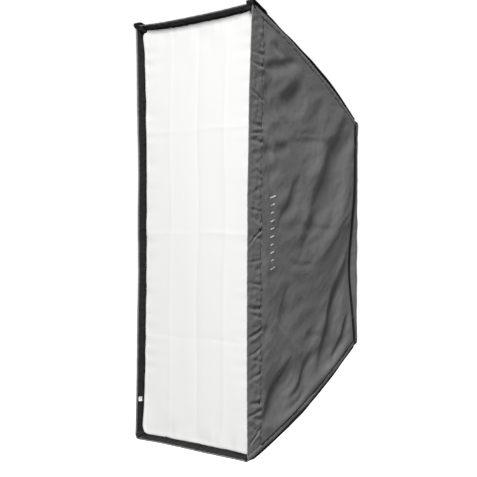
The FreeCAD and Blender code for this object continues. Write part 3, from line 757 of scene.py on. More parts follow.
# the cut's extra across and along the run, its skew, the run's length and its cap
EXTRA_ACROSS, EXTRA_ALONG = 1.010, 1.008
CUT_SKEW = {"right": 0.018, "left": -0.015, "top": 0.018, "bottom": -0.015}
RUN_FRAMES = 16
MOST_MOVED = 0.012
CLOTH_SETTINGS = {
    "quality": 6,
    "mass": 0.12,
    "tension_stiffness": 30,
    "compression_stiffness": 30,
    "shear_stiffness": 12,
    "bending_stiffness": 1.2,
    "tension_damping": 12,
    "compression_damping": 12,
    "shear_damping": 12,
    "bending_damping": 2,
    "air_damping": 3,
    "vertex_group_mass": "sewn",
}


def settle(piece, side, a, d, points):
    """
    Cloth run: the cut is a little longer than the space between its seams and a little skewed,
    so the cloth buckles along the pull from the upper rear to the lower front.
    """
    rows, columns = a.shape
    across = half_w if SIDES[side][0] == 0 else half_h
    depths = d[0]
    steps = np.hypot(np.diff(depths), np.diff(across(depths)))
    run = np.concatenate([[0], np.cumsum(steps)])
    flat = np.zeros(points.shape)
    flat[..., 0] = a * EXTRA_ACROSS - CUT_SKEW[side] * (run[None, :] - run[-1] / 2)
    flat[..., 1] = run[None, :] * EXTRA_ALONG
    piece.shape_key_add(name="Basis")
    cut = piece.shape_key_add(name="cut")
    cut.data.foreach_set("co", flat.reshape(-1))
    pins = piece.vertex_groups.new(name="sewn")
    index = np.arange(rows * columns).reshape(rows, columns)
    border = np.concatenate([index[0], index[-1], index[1:-1, 0], index[1:-1, -1]])
    pins.add([int(i) for i in border], 1.0, "REPLACE")
    cloth = piece.modifiers.new("cloth", "CLOTH")
    for key, value in CLOTH_SETTINGS.items():
        setattr(cloth.settings, key, value)
    cloth.settings.rest_shape_key = cut
    cloth.settings.effector_weights.gravity = 0.3
    cloth.collision_settings.use_collision = False
    cloth.collision_settings.use_self_collision = False
    cloth.point_cache.frame_start = 1
    cloth.point_cache.frame_end = RUN_FRAMES
    scene = bpy.context.scene
    for step in range(1, RUN_FRAMES + 1):
        scene.frame_set(step)
    shown = piece.evaluated_get(bpy.context.evaluated_depsgraph_get())
    moved = read_vertices(shown).reshape(points.shape) - points
    size = np.linalg.norm(moved, axis=-1, keepdims=True)
    moved *= np.minimum(1, MOST_MOVED / np.maximum(size, 1e-9))
    piece.modifiers.remove(cloth)
    piece.shape_key_clear()
    write_vertices(piece, points + moved)
    scene.frame_set(1)


def sampled(piece, side, a, d, lift):
    """Points on a settled panel at (along, depth), lifted off it along its normals."""
    rows, columns = PANEL_ROWS[side], PANEL_COLUMNS
    co = read_vertices(piece).reshape(rows, columns, 3)
    normals = unit(np.cross(np.gradient(co, axis=0), np.gradient(co, axis=1)))
    if normals[rows // 2, columns // 2, SIDES[side][0]] * SIDES[side][1] < 0:
        normals = -normals
    a, d = np.broadcast_arrays(np.asarray(a, float), np.asarray(d, float))
    share = a / panel_reach(side, d)
    i = np.clip((share + 1) / 2 * (rows - 1), 0, rows - 1.001)
    j = np.clip((d - LIP) / (PANEL_END - LIP) * (columns - 1), 0, columns - 1.001)
    i0, j0 = i.astype(int), j.astype(int)
    fi, fj = (i - i0)[..., None], (j - j0)[..., None]

    def mix(values):
        return (
            values[i0, j0] * (1 - fi) * (1 - fj)
            + values[i0 + 1, j0] * fi * (1 - fj)
            + values[i0, j0 + 1] * (1 - fi) * fj
            + values[i0 + 1, j0 + 1] * fi * fj
        )

    return mix(co) + lift * mix(normals)


# the main panels, by side
PANELS = {}
for name, (axis_of_side, _) in SIDES.items():
    cloth_piece = main_panel(name)
    PANELS[name] = cloth_piece
    finish(cloth_piece, "grey_satin", GREY, SILVER, stands_for=[f"{name}_panel"])
    soften(cloth_piece)
    thicken(cloth_piece, inner=1)


# ------------------------------------------------------------------ lips


# the first column of a lip's faces, counted from its seam, that is black: past the rim's turn
BLACK_FROM = 21
LIP_END_GAP = 0.012


def lip(side):
    """The front band: grey outside, turned over the rim, black inside."""
    rows = 420 if SIDES[side][0] == 0 else 160
    outer_d = np.concatenate([np.linspace(LIP + 0.001, 0.004, 15), [0.002, 0.0008, 0.0]])
    inner_d = np.concatenate([[0.0, 0.0008, 0.002], np.linspace(0.004, 0.058, 11)])
    d = np.concatenate([outer_d, inner_d])[None, :]
    outer = np.array([0.0] * 15 + [-0.0001, -0.0005, -0.0012])
    inner = np.array([-0.0024, -0.0031, -0.0034] + [-0.0036] * 11)
    out = np.concatenate([outer, inner])[None, :]
    share = np.linspace(-1, 1, rows)[:, None]
    a = share * (reach(side, np.minimum(d, LIP)) - LIP_END_GAP)
    a, d, out = np.broadcast_arrays(a, d, out)
    seed = 300 + 10 * list(SIDES).index(side)
    inside = np.arange(d.shape[1])[None, :] >= len(outer_d)
    follow = np.where(inside, 0.65, 1.0)
    calm = 0.2 + 0.8 * np.clip(d / 0.03, 0, 1)
    relief = pucker_relief(side, a, d) * follow
    relief = relief + field(seed, a, d * 0.4, 0.06) * 0.0009 * calm
    relief = relief + field(seed + 1, a, d, 0.018, (1.0, 2.0), waves=24) * 0.0012 * calm
    seam_dip = -0.0016 * np.exp(-(((LIP - d) / 0.0022) ** 2)) * (1 - inside)
    hem = 0.0006 * np.exp(-(((d - 0.0075) / 0.002) ** 2)) * np.where(inside, 1, -1)
    slack = 0.0012 * field(seed + 2, a, 0 * d, 0.30)
    points = place(side, a, d, out + relief + seam_dip + hem)
    axis, sign = SIDES[side]
    points[..., axis] += sign * slack * np.exp(-d / 0.02)
    points[..., 1] += 0.0010 * field(seed + 3, a, 0 * d, 0.30) * np.exp(-d / 0.012)
    piece = add_grid(f"{side}_lip_cloth", points, not faces_in(side))
    finish(piece, "black_cloth", GREY, BLACK, stands_for=[f"{side}_lip"])
    columns = d.shape[1]
    for face in piece.data.polygons:
        if face.index % (columns - 1) >= BLACK_FROM:
            face.material_index = 1
    thicken(piece, 0.0007)


for name in SIDES:
    lip(name)


# ------------------------------------------------------------------ corner sleeves


def corner_strip(corner, q, d, lift):
    """
    Points round a corner: q runs from 0 on the upright side to 1 on the level side, and lift
    is outwards.
    """
    sx, sz = CORNERS[corner]
    q, d, lift = np.broadcast_arrays(q, d, lift)
    flat = STRIP - INSET
    arc = INSET * math.pi / 2
    s = q * (2 * flat + arc)
    w, h = half_w(d), half_h(d)
    turn = np.clip((s - flat) / INSET, 0, math.pi / 2)
    x = w - INSET + INSET * np.cos(turn)
    z = h - INSET + INSET * np.sin(turn)
    z = np.where(s < flat, h - STRIP + s, z)
    x = np.where(s > flat + arc, w - INSET - (s - flat - arc), x)
    x = x + lift * np.cos(turn)
    z = z + lift * np.sin(turn)
    points = np.zeros(q.shape + (3,))
    points[..., 0] = sx * x
    points[..., 1] = FRONT + d
    points[..., 2] = sz * z
    return points


def sleeve(corner, seed):
    """The rod's sleeve: a strip of the cloth sewn round the corner over the rod."""
    sx, sz = CORNERS[corner]
    rows, columns = 300, 27
    d = np.linspace(0.0006, SEAM - 0.001, rows)[:, None]
    q = np.linspace(0, 1, columns)[None, :]
    over = np.sin(np.pi * q)
    bulge = 0.0013 * over**0.45
    deep = -0.0018 if sz > 0 else -0.0034
    ditch = deep * (np.exp(-((q / 0.045) ** 2)) + np.exp(-(((1 - q) / 0.045) ** 2)))
    flank = np.exp(-(((q - 0.13) / 0.1) ** 2)) + np.exp(-(((q - 0.87) / 0.1) ** 2))
    gathers = field(seed, d, q * 0.03, 0.019, (1.0, 2.2), waves=20) * 0.0010 * flank
    twist = field(seed + 1, d, q * 0.05, 0.11) * 0.0007
    rim = -0.0018 * np.exp(-d / 0.002)
    points = corner_strip(corner, q, d, bulge + ditch + gathers + twist + rim)
    piece = add_grid(f"{corner}_sleeve_cloth", points, sx * sz > 0)
    finish(piece, "grey_satin", GREY, SILVER, stands_for=[f"sleeve_{corner}"])
    thicken(piece, 0.0009, inner=1)


def corner_binding(corner, seed):
    """The black taped seam that stands out along a corner."""
    sx, sz = CORNERS[corner]
    d = np.linspace(0.012, SEAM - 0.003, 220)
    wide = 0.0080 + 0.0052 * np.exp(-(((d - 0.44) / 0.10) ** 2))
    if sz < 0:
        wide = 0.0058 + 0.0022 * np.exp(-(((d - 0.24) / 0.14) ** 2))
    wide = wide + field(seed, d, 0 * d, 0.09) * 0.0007
    wide = np.maximum(wide, 0.0025) * np.clip((d - 0.008) / 0.02, 0.3, 1)
    lean = field(seed + 1, d, 0 * d, 0.2) * 0.15 + (0.42 if sz > 0 else 0.2)
    w, h = half_w(d) - INSET, half_h(d) - INSET
    outline = [(-1, 0.0), (-1, 0.8), (-0.5, 1.0), (0.5, 1.0), (1, 0.8), (1, 0.0)]
    rings = []
    for p, q in outline:
        turn = math.pi / 4 + lean * q
        radial = INSET + 0.0004 + q * wide
        x = w + radial * np.cos(turn) - p * 0.0012 * np.sin(turn)
        z = h + radial * np.sin(turn) + p * 0.0012 * np.cos(turn)
        rings.append(np.stack([sx * x, FRONT + d, sz * z], 1))
    piece = add_grid(f"{corner}_corner_binding", np.stack(rings, 1), sx * sz > 0, around=True)
    cap(piece)
    finish(piece, "black_cloth", BINDING)


def tip_pocket(corner, seed):
    """The stitched pocket that holds a rod's tip, closed over the front."""
    sx, sz = CORNERS[corner]
    profile = [
        (0.0012, 0.0002), (0.0016, 0.0035), (0.003, 0.0062), (0.0055, 0.0078),
        (0.010, 0.0086), (0.016, 0.0088), (0.024, 0.0088), (0.032, 0.0087),
        (0.040, 0.0086), (0.048, 0.0085), (0.056, 0.0083),
    ]
    d, radii = np.array(profile).T
    line = np.stack([sx * (half_w(d) - INSET), FRONT + d, sz * (half_h(d) - INSET)], 1)
    piece = add_tube(f"{corner}_tip_pocket", line, radii, 28)
    co = read_vertices(piece)
    creases = field(seed, co[:, 0] * 3, co[:, 1], 0.02) * 0.0005
    x, z = (np.interp(co[:, 1], line[:, 1], line[:, k]) for k in (0, 2))
    centre = np.stack([x, co[:, 1], z], 1)
    co += (co - centre) / 0.0085 * creases[:, None]
    write_vertices(piece, co)
    soften(piece)
    finish(piece, "black_cloth", BLACK, stands_for=[f"corner_pocket_{corner}"])


def pull_tab(corner):
    """A webbing tab over an upper corner, for pulling the cloth over the rod's tip."""
    sx, sz = CORNERS[corner]
    # how far behind the rim it is, and how far above the shell
    route = [
        (0.010, -0.012), (0.001, -0.006), (-0.0035, 0.001), (-0.001, 0.0062), (0.008, 0.0078),
        (0.022, 0.0074), (0.040, 0.0066), (0.060, 0.0068), (0.076, 0.0080), (0.088, 0.0078),
    ]
    back, lift = np.array(route).T
    depth = np.clip(back, 0, None)
    points = np.stack([sx * (half_w(depth) - 0.009), FRONT + back, sz * (half_h(depth) + lift)], 1)
    count = 60
    at = np.linspace(0, len(route) - 1, count)
    points = rounded(np.stack([np.interp(at, np.arange(len(route)), p) for p in points.T], 1), 8)
    width = 0.026 * np.clip(np.linspace(1.0, 0.0, count) * 4.5, 0.22, 1) ** 0.8
    tangent = np.gradient(points, axis=0)
    normals = np.stack([0 * points[:, 0], -tangent[:, 2], tangent[:, 1]], 1)
    thickness = np.linspace(0.0034, 0.0018, count)
    piece = add_ribbon(f"{corner}_pull_tab", points, normals, width, thickness)
    finish(piece, "black_cloth", BINDING)


def sleeve_cords(corner, seed):
    """The dark sewn edges of a lower sleeve."""
    parts = []
    d = np.linspace(LIP + 0.002, SEAM - 0.004, 260)
    radii = np.full(d.shape, 0.0016)
    radii[[0, -1]] = 0.0004
    for k, q in enumerate((0.005, 0.995)):
        lift = -0.0008 + 0.0005 * field(seed + k, d, 0 * d, 0.02)
        parts.append(add_tube(f"edge_{k}", corner_strip(corner, q, d, lift), radii, 8))
    finish(joined(f"{corner}_sleeve_cords", parts), "black_cloth", BINDING)


def joined(name, parts):
    """Several parts of one piece as one object."""
    bpy.ops.object.select_all(action="DESELECT")
    for part in parts:
        part.select_set(True)
    bpy.context.view_layer.objects.active = parts[0]
    bpy.ops.object.join()
    parts[0].name = name
    parts[0].data.name = name
    return parts[0]


for number, name in enumerate(CORNERS):
    sleeve(name, 400 + 10 * number)
    if name.startswith("lower"):
        sleeve_cords(name, 450 + 10 * number)
    corner_binding(name, 500 + 10 * number)
    tip_pocket(name, 600 + 10 * number)
    if name.startswith("upper"):
        pull_tab(name)


# ------------------------------------------------------------------ rear of the box


def shoulder(side, share, d, out=0.0):
    """A loop round the box at a depth near the seam, one side at a time, corners rounded."""
    a = share * (reach(side, d) - INSET)
    return place(side, a, d, out)


def seam_cord():
    """The black piped seam between the main panels and the rear panels."""
    parts = []
    lift = 0.0009
    # each side, the end where the cord starts along it, and the corner that it turns next
    route = [
        ("right", -1, "upper_right"),
        ("top", 1, "upper_left"),
        ("left", 1, "lower_left"),
        ("bottom", -1, "lower_right"),
    ]
    flat = (STRIP - INSET) / (2 * (STRIP - INSET) + INSET * math.pi / 2)
    q = flat + np.linspace(0, 1, 9)[1:-1] * (1 - 2 * flat)
    for side, start, corner in route:
        upright = SIDES[side][0] == 0
        share = np.linspace(start, -start, 120 if upright else 50)
        parts.append(shoulder(side, share, SEAM + 0 * share, lift))
        parts.append(corner_strip(corner, q if upright else q[::-1], SEAM + 0 * q, lift))
    points = np.concatenate(parts)
    wobble = field(77, np.arange(len(points)) * 0.006, np.zeros(len(points)), 0.12)
    points[:, 1] += wobble * 0.0008
    piece = add_tube("shoulder_seam_cord", points, 0.0024, 12, closed=True)
    finish(piece, "black_cloth", BINDING, stands_for=["shoulder_piping"])


# the angle of a corner of the seam, seen along the lamp's axis
CORNER_TURN = math.atan2(SEAM_H, half_w(SEAM))


def throat_point(side, share):
    """A point of the round throat for a share across a side."""
    if SIDES[side][0] == 0:
        turn = share * CORNER_TURN
    else:
        turn = math.pi / 2 - share * (math.pi / 2 - CORNER_TURN)
    return np.cos(turn), np.sin(turn)


def rear_panel(side, seed):
    """From the piped seam over the rods' elbows and in to the speedring."""
    axis, sign = SIDES[side]
    rows, columns = (110 if axis == 0 else 70), 46
    share = np.linspace(-1, 1, rows)[:, None]
    v = np.linspace(0, 1, columns)[None, :]
    share, v = np.broadcast_arrays(share, v)
    seam_line = shoulder(side, share, SEAM + 0.001 + 0 * share, -0.0008)
    across, along = (FOLD_W, FOLD_H) if axis == 0 else (FOLD_H, FOLD_W)
    bow = 0.004 * (1 - share**2)
    fold_line = np.zeros(share.shape + (3,))
    fold_line[..., axis] = sign * (across - bow)
    fold_line[..., 1] = FRONT + FOLD
    fold_line[..., 2 - axis] = share * (along - 0.004)
    throat = np.zeros(share.shape + (3,))
    throat[..., 0], throat[..., 2] = throat_point(side, share)
    throat *= THROAT_R
    throat[..., axis] *= sign
    throat[..., 1] = FRONT + THROAT_D
    # the share of the cloth that lies between the seam and the elbows
    cut = 0.2
    near = np.clip(v / cut, 0, 1)[..., None]
    far = np.clip((v - cut) / (1 - cut), 0, 1)[..., None]
    points = seam_line * (1 - near) + fold_line * near
    points = np.where(v[..., None] > cut, fold_line * (1 - far) + throat * far, points)
    # the cloth turns over the elbows in a soft round
    points = rounded(points.swapaxes(0, 1), 10).swapaxes(0, 1)
    fade = np.sin(np.pi * np.clip(v, 0, 1)) ** 0.5
    radial = field(seed, share * 0.2, v * 0.12, 0.05, (1.0, 3.0)) * 0.0016
    strip = field(seed + 1, share * reach(side, SEAM), v * 0.05, 0.03, (1.0, 2.0))
    strip = strip * 0.0016 * np.exp(-((v / 0.17) ** 2))
    points[..., 1] += (radial + strip * 0.6) * fade
    points[..., axis] += sign * strip * fade
    piece = add_grid(f"rear_{side}_cloth", points, faces_in(side))
    finish(piece, "grey_satin", GREY, SILVER, stands_for=[f"rear_{side}_panel"])
    soften(piece)
    thicken(piece, inner=1)
    return piece


def piece_area(piece):
    """The area of a piece made of quads."""
    co = read_vertices(piece)
    total = 0.0
    for face in piece.data.polygons:
        p = co[list(face.vertices)]
        total += np.linalg.norm(np.cross(p[2] - p[0], p[3] - p[1])) / 2
    return total


for number, (name, (axis_of_side, _)) in enumerate(SIDES.items()):
    rear = rear_panel(name, 800 + 10 * number)
    piece_area(rear) * 0.99
seam_cord()


def rear_corner_seam(corner):
    """The bound seam between two rear panels, over a rod's straight end."""
    sx, sz = CORNERS[corner]
    x, z = THROAT_R * math.cos(CORNER_TURN), THROAT_R * math.sin(CORNER_TURN)
    seam = np.array([sx * (half_w(SEAM) - 0.002), FRONT + SEAM + 0.002, sz * (SEAM_H - 0.002)])
    elbow = np.array([sx * (FOLD_W - 0.004), FRONT + FOLD, sz * (FOLD_H - 0.004)])
    throat = np.array([sx * x, FRONT + THROAT_D, sz * z])
    run = [seam + (elbow - seam) * t for t in np.linspace(0, 1, 8)]
    run += [elbow + (throat - elbow) * t for t in np.linspace(0, 1, 50)[1:]]
    piece = add_tube(f"{corner}_rear_seam", rounded(np.array(run), 4), 0.0018, 10)
    finish(piece, "black_cloth", BINDING)


# the notches in the band round the two lock bosses
NOTCH_HALF = 0.0078
NOTCH_DEEP = 0.0112


def throat_band():
    """The gathered elastic band that grips the speedring."""
    rows, columns = 10, 260
    turn = np.linspace(0, math.tau, columns, endpoint=False)[None, :]
    v = np.linspace(0, 1, rows)[:, None]
    low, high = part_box("rear_collar")
    # the rear edge steps forward round the two lock bosses, above and below
    off_boss = np.abs(np.cos(turn)) * THROAT_R
    rear = high[1] - NOTCH_DEEP / (1 + np.exp((off_boss - NOTCH_HALF) / 0.0006))
    d = low[1] + (rear - low[1]) * v - FRONT
    gathers = field(91, turn * 0.09, v * 0.01, 0.012, (1.0, 3.0), waves=24)
    radius = THROAT_R - 0.0014 + 0.0011 * gathers + 0.0008 * np.sin(np.pi * v)
    points = np.stack([radius * np.cos(turn), FRONT + d + 0 * turn, radius * np.sin(turn)], -1)
    uvs = np.stack([np.broadcast_to(turn * 0.086, radius.shape), d], -1)
    faces = grid_faces(rows, columns, around=True, flip=True)
    piece = add_object("throat_band", points.reshape(-1, 3), faces, uvs.reshape(-1, 2))
    thicken(piece, 0.0012)
    finish(piece, "black_cloth", BLACK, stands_for=["rear_collar"])


for name in CORNERS:
    rear_corner_seam(name)
throat_band()


# ------------------------------------------------------------------ tapes, diffuser, baffle


# the depths between which the tapes lie
TAPE_START, TAPE_END = 0.030, 0.054


def tape_strip(name, side, out, seed):
    """One side's strip of tape, which follows its lip's gathers."""
    rows = 180 if SIDES[side][0] == 0 else 70
    share = np.linspace(-1, 1, rows)[:, None]
    d = np.linspace(TAPE_START, TAPE_END, 6)[None, :]
    a, d = np.broadcast_arrays(share * (reach(side, d) - 0.02), d)
    relief = 0.7 * pucker_relief(side, a, d) + field(seed, a, d, 0.04) * 0.0003
    piece = add_grid(name, place(side, a, d, out + relief), faces_in(side))
    return thicken(piece, 0.0010, 0.0)


def tape(kind, out, seed, node):
    """The tape on all four sides, in one piece."""
    strips = [tape_strip(f"{kind}_{s}", s, out, seed + k) for k, s in enumerate(SIDES)]
    return finish(joined(f"{kind}_tape", strips), "tape", TAPE, stands_for=[node])


tape("loop", -0.0052, 60, "lip_loop_tape")
hook_piece = tape("hook", -0.0070, 70, "diffuser_hook_border")


def inner_edge(side, a, d):
    """Where a cloth that meets the inside of a lip ends, across the side."""
    return place(side, a, d, -0.0072)[..., SIDES[side][0]]


def front_cloth():
    """The white diffuser: stretched, with the creases that folding for storage leaves."""
    rows, columns = 361, 141
    q = np.linspace(-1, 1, rows)[:, None]
    p = np.linspace(-1, 1, columns)[None, :]
    p, q = np.broadcast_arrays(p, q)
    near_edge = np.maximum(np.abs(p), np.abs(q))
    at_corner = np.clip(np.abs(p) * np.abs(q), 0, 1) ** 6
    d_edge = 0.0285 - 0.007 * at_corner
    d_edge = d_edge + 0.0012 * field(11, p * 0.25, q * 0.65, 0.09) * near_edge**12
    w, h = half_w(0.028) - 0.008, half_h(0.028) - 0.008
    left, right = (inner_edge(side, q * h, d_edge) for side in ("left", "right"))
    low, high = (inner_edge(side, p * w, d_edge) for side in ("bottom", "top"))
    x = (left + right) / 2 + (right - left) / 2 * p
    z = (low + high) / 2 + (high - low) / 2 * q
    # rounded corners clear of the rod pockets
    r = 0.026
    dx, dz = np.clip(np.abs(x) - (w - r), 0, None), np.clip(np.abs(z) - (h - r), 0, None)
    both = (dx > 0) & (dz > 0)
    shrink = np.where(both, np.maximum(dx, dz) / np.maximum(np.hypot(dx, dz), 1e-9), 1)
    x = np.where(both, np.sign(x) * (w - r + dx * shrink), x)
    z = np.where(both, np.sign(z) * (h - r + dz * shrink), z)
    out = np.zeros(x.shape)
    # the upright and the level creases: where each lies, and how far it stands out
    for at, depth in ((-0.118, 0.0009), (0.004, -0.0013), (0.121, 0.0010)):
        off = x - at - 0.004 * field(21, 0 * z, z, 0.5)
        out += depth * np.exp(-np.abs(off) / 0.010)
    for at, depth in ((-0.318, -0.0010), (-0.004, 0.0012), (0.306, 0.0011)):
        off = z - at - 0.006 * field(22, x, 0 * x, 0.3)
        out += depth * np.exp(-np.abs(off) / 0.009) * (0.65 + 0.35 * field(23, x, 0 * z, 0.2))
    out += 0.0004 * field(24, x, z, 0.34) + 0.00012 * field(25, x, z, 0.07, (1.0, 3.0))
    edge_w = (1 - np.abs(p)) * w
    edge_h = (1 - np.abs(q)) * h
    gather = field(26, 0 * x, z, 0.035) * np.exp(-edge_w / 0.03)
    gather = gather + field(27, x, 0 * z, 0.035) * np.exp(-edge_h / 0.03)
    out += 0.0011 * gather
    edge = np.minimum(edge_w, edge_h)
    hem = 0.0008 / (1 + np.exp((edge - 0.010) / 0.0009))
    out = out * np.clip(edge / 0.012, 0, 1) + hem
    out += 0.003 * (1 - near_edge**2)
    points = np.stack([x, FRONT + d_edge - out, z], -1)
    piece = add_grid("front_diffuser_cloth", points, False)
    finish(piece, "white_cloth", WHITE, stands_for=["front_diffuser"])
    thicken(piece, 0.0008, 0.0)


front_cloth()


def inner_cloth():
    """The inner baffle: a plain white sheet, slightly slack between its straps."""
    low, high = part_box("inner_baffle")
    rows, columns = 97, 41
    z = np.linspace(low[2], high[2], rows)[:, None]
    x = np.linspace(low[0], high[0], columns)[None, :]
    x, z = np.broadcast_arrays(x, z)
    # its edges are drawn inwards between the corner straps
    draw = 0.020 * (1 - (z / high[2]) ** 2)
    sag = 0.024 * (1 - (x / high[0]) ** 2)
    x = x * (1 - draw / high[0])
    z = z * (1 - sag / high[2])
    y = (low[1] + high[1]) / 2 + 0.004 * field(41, x, z, 0.3) + 0.0015 * field(42, x, z, 0.07)
    piece = add_grid("inner_baffle_cloth", np.stack([x, y, z], -1), False)
    finish(piece, "white_cloth", WHITE, stands_for=["inner_baffle"])
    soften(piece)
    thicken(piece, 0.0008, 0.0)


def baffle_straps():
    """Webbing from the baffle's corners to the corner seams."""
    parts = []
    low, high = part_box("inner_baffle")
    d, y = low[1] - FRONT, high[1] + 0.0006
    for name, (sx, sz) in CORNERS.items():
        start = np.array([sx * (high[0] - 0.010), y, sz * (high[2] - 0.010)])
        end = np.array([sx * (half_w(d) - 0.0165), y, sz * (half_h(d) - 0.0165)])
        points = start + (end - start) * np.linspace(0, 1, 12)[:, None]
        parts.append(add_ribbon(f"strap_{name}", points, (0, 1, 0), 0.019, 0.0012))
    straps = joined("baffle_strap_webbing", parts)
    finish(straps, "black_cloth", BINDING, stands_for=["baffle_straps"])


baffle_straps()
inner_cloth()


def label():
    """A small folded white label sewn to the inside of the left lip."""
    low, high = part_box("care_label")
    z = np.linspace(low[2], high[2], 9)[:, None]
    v = np.linspace(0, 1, 13)[None, :]
    z, v = np.broadcast_arrays(z, v)
    d = 0.006 + 0.013 * (1 - np.abs(2 * v - 1))
    out = -0.0058 - 0.0022 * (1 - v) - 0.0006 * np.sin(np.pi * v) ** 2
    curl = 0.0012 * ((z - low[2]) / (high[2] - low[2]) - 0.5) ** 2 * 4
    points = place("left", z, d, out - curl)
    piece = add_grid("sewn_label", points, False)
    soften(piece)
    thicken(piece, 0.0003, 0.0)
    finish(piece, "label", LABEL, stands_for=["care_label"])


label()


# ------------------------------------------------------------------ printed bars

PRINT_DEPTH = 0.118
PRINT_SLOPE = 0.30
BAR_COUNT = 10
BAR_PITCH = 0.0231
BAR_WIDTH = 0.0042


def printed_bar(name, at, length):
    """A plain printed bar that follows the right panel's folds."""
    share = np.linspace(-0.5, 0.5, 17)[None, :]
    v = np.linspace(0.5, -0.5, 5)[:, None]
    share, v = np.broadcast_arrays(share, v)
    taper = np.clip((0.5 - np.abs(share)) * 12 + 0.35, 0, 1)
    d = PRINT_DEPTH + length * share
    a = at + PRINT_SLOPE * (d - PRINT_DEPTH) + BAR_WIDTH * v * taper
    piece = add_grid(name, sampled(PANELS["right"], "right", a, d, 0.0007), True)
    thicken(piece, 0.0003, 0.0)
    finish(piece, "label", PRINT_WHITE)


# a plain row of even, ruler-like bars, longer at its two ends
for number in range(BAR_COUNT):
    bar_length = 0.027 if number in (0, BAR_COUNT - 1) else (0.016, 0.019)[number % 2]
    printed_bar(f"print_tick_{number}", BAR_PITCH * ((BAR_COUNT - 1) / 2 - number), bar_length)


# ------------------------------------------------------------------ stitching


def side_line(side, d, out):
    """A sewing line along a lip, and the directions that point outwards from it."""
    a = np.linspace(-1, 1, 260) * (reach(side, d) - 0.02)
    points = place(side, a, d, out + pucker_relief(side, a, np.full(a.shape, d)))
    return points, unit(place(side, a, d, out + 0.01) - place(side, a, d, out))


seam_lines = [side_line(s, LIP - 0.0036, 0.0002) for s in SIDES]
finish(add_stitches("lip_seam_stitches", seam_lines), "black_cloth", THREAD)
rim_lines = [side_line(s, 0.0075, -0.0042) for s in SIDES]
rim_lines = [(points, -normals) for points, normals in rim_lines]
finish(add_stitches("lip_hem_stitches", rim_lines), "black_cloth", THREAD)


def sleeve_line(corner, q):
    """A sewing line along an edge of a sleeve."""
    d = np.linspace(0.066, SEAM - 0.01, 240)
    points = corner_strip(corner, q, d, 0.0011)
    return points, unit(corner_strip(corner, q, d, 0.0111) - points)


sleeve_lines = [sleeve_line(c, q) for c in CORNERS for q in (0.09, 0.91)]
finish(add_stitches("sleeve_stitches", sleeve_lines), "black_cloth", THREAD)


# ------------------------------------------------------------------ spread upper corners

# how far the cloth stands out at the rim, and how soon that fades behind it
SPREAD = {"left": 0.011, "right": 0.010}
SPREAD_DEPTH = 0.2
# parts of the names of the pieces that keep their place
HELD_BY_RODS = ("tip_pocket", "rear_", "shoulder_", "throat_", "baffle")


def spread_upper_corners():
    """The cloth stands a little wide of the rods at the two upper front corners."""
    for piece in list(bpy.context.scene.objects):
        own = piece.type == "MESH" and piece.name not in frame["nodes"]
        if not own or any(part in piece.name for part in HELD_BY_RODS):
            continue
        co = read_vertices(piece)
        d = np.clip(co[:, 1] - FRONT, 0, SEAM)
        rise = np.clip(co[:, 2] / RIM_H, 0, 1) ** 2 * np.exp(-d / SPREAD_DEPTH) * (1 - d / SEAM)
        out = np.where(co[:, 0] > 0, SPREAD["right"], SPREAD["left"])
        co[:, 0] += out * rise * np.clip(co[:, 0] / half_w(d), -1, 1)
        write_vertices(piece, co)


spread_upper_corners()


# ------------------------------------------------------------------ the CAD's own pieces

NODE_MATERIALS = {
    "mount_insert": INSERT,
    "speedring": RING,
    "retaining_ring": RING,
    "retaining_screws": STEEL,
    "socket_screws": STEEL,
    "rod_ferrules": FERRULE,
    "rod_tips": PLASTIC,
}
for name in CORNERS:
    NODE_MATERIALS[f"rod_{name}"] = STEEL
    NODE_MATERIALS[f"rod_socket_{name}"] = RING
for name in ("upper", "lower"):
    NODE_MATERIALS[f"lock_screw_{name}"] = STEEL
    NODE_MATERIALS[f"lock_knob_{name}"] = PLASTIC
for name, material in NODE_MATERIALS.items():
    node = bpy.data.objects[name]
    node.data.materials.clear()
    node.data.materials.append(material)


# ------------------------------------------------------------------ studio


FLOOR_HALF, FLOOR_Z, FLOOR_GLOW = 14, -1.5, 0.87
# how bright the white room is to the camera, and to the light that reaches the object
ROOM_SEEN, ROOM_LIGHT = 1.0, 0.16
# each soft light's name, place, aim, width in metres and power in watts
LIGHTS = [
    ("front", (3.7, -7.6, 5.0), (0.1, -0.4, 0), 3.4, 1130),
    ("side_fill", (3.6, 1.6, 2.4), (0.1, -0.3, 0), 2.2, 14),
    ("rear_left", (-3.0, 2.6, 2.2), (0, -0.2, 0), 2.2, 90),
]


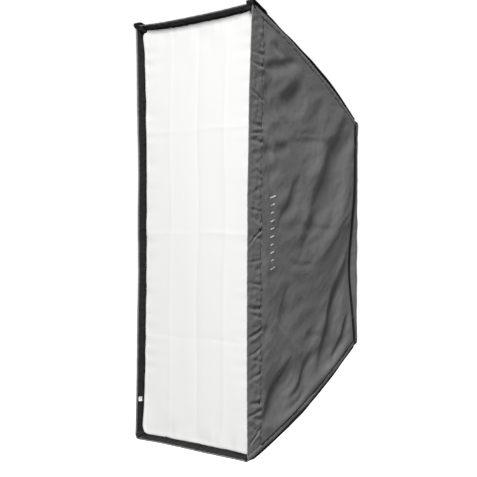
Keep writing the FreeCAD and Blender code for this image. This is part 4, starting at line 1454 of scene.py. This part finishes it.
def floor():
    """A pale floor that gives off its own light, so that it reads as plain white."""
    outline = [(-1, -1), (1, -1), (1, 1), (-1, 1)]
    verts = [(x * FLOOR_HALF, y * FLOOR_HALF, FLOOR_Z) for x, y in outline]
    sheet = add_object("floor", verts, [(0, 1, 2, 3)], smooth=False)
    s = Shader("pale_floor", 0.9)
    s.bsdf.inputs["Emission Color"].default_value = (1, 1, 1, 1)
    s.bsdf.inputs["Emission Strength"].default_value = FLOOR_GLOW
    tone = s.ramp(s.noise(1.5, 2.0), [(0.3, (0.86, 0.86, 0.86)), (0.7, (0.89, 0.89, 0.89))])
    sheet.data.materials.append(s.finish(tone))
    sheet.visible_diffuse = sheet.visible_glossy = False


def studio():
    """A white room, dimmer to the object than to the camera, and three soft lights."""
    scene = bpy.context.scene
    scene.view_settings.view_transform = "Standard"
    scene.view_settings.look = "None"
    world = bpy.data.worlds.new("studio")
    scene.world = world
    world.use_nodes = True
    tree = world.node_tree
    background = tree.nodes["Background"]
    background.inputs["Color"].default_value = (1, 1, 1, 1)
    ray = tree.nodes.new("ShaderNodeLightPath")
    level = tree.nodes.new("ShaderNodeMapRange")
    level.inputs["To Min"].default_value = ROOM_LIGHT
    level.inputs["To Max"].default_value = ROOM_SEEN
    tree.links.new(ray.outputs["Is Camera Ray"], level.inputs["Value"])
    tree.links.new(level.outputs["Result"], background.inputs["Strength"])
    for light in LIGHTS:
        area_light(*light)


def area_light(name, at, target, width, power):
    data = bpy.data.lights.new(name, "AREA")
    data.shape = "RECTANGLE"
    data.size = data.size_y = width
    data.energy = power
    light = bpy.data.objects.new(name, data)
    bpy.context.scene.collection.objects.link(light)
    aim(light, at, target)


def aim(thing, at, target):
    """Places a light or the camera and points it at a target."""
    thing.location = at
    way = Vector(target) - Vector(at)
    thing.rotation_euler = way.to_track_quat("-Z", "Y").to_euler()


CAMERA_LENS, CAMERA_SENSOR = 84.04, 36.0
CAMERA_SHIFT = (0.0004, -0.0126)
CAMERA_AT = (2.4675, FRONT - 2.2234, 0.0)
CAMERA_TURN, CAMERA_ROLL = math.radians(45.476), math.radians(0.3)


def camera():
    """A level camera to the right of the front, at the photograph's angle."""
    data = bpy.data.cameras.new("camera")
    data.lens, data.sensor_width = CAMERA_LENS, CAMERA_SENSOR
    data.shift_x, data.shift_y = CAMERA_SHIFT
    eye = bpy.data.objects.new("camera", data)
    bpy.context.scene.collection.objects.link(eye)
    x, y, z = CAMERA_AT
    aim(eye, CAMERA_AT, (x - math.sin(CAMERA_TURN), y + math.cos(CAMERA_TURN), z))
    eye.rotation_euler.rotate_axis("Z", CAMERA_ROLL)
    bpy.context.scene.camera = eye


floor()
studio()
camera()
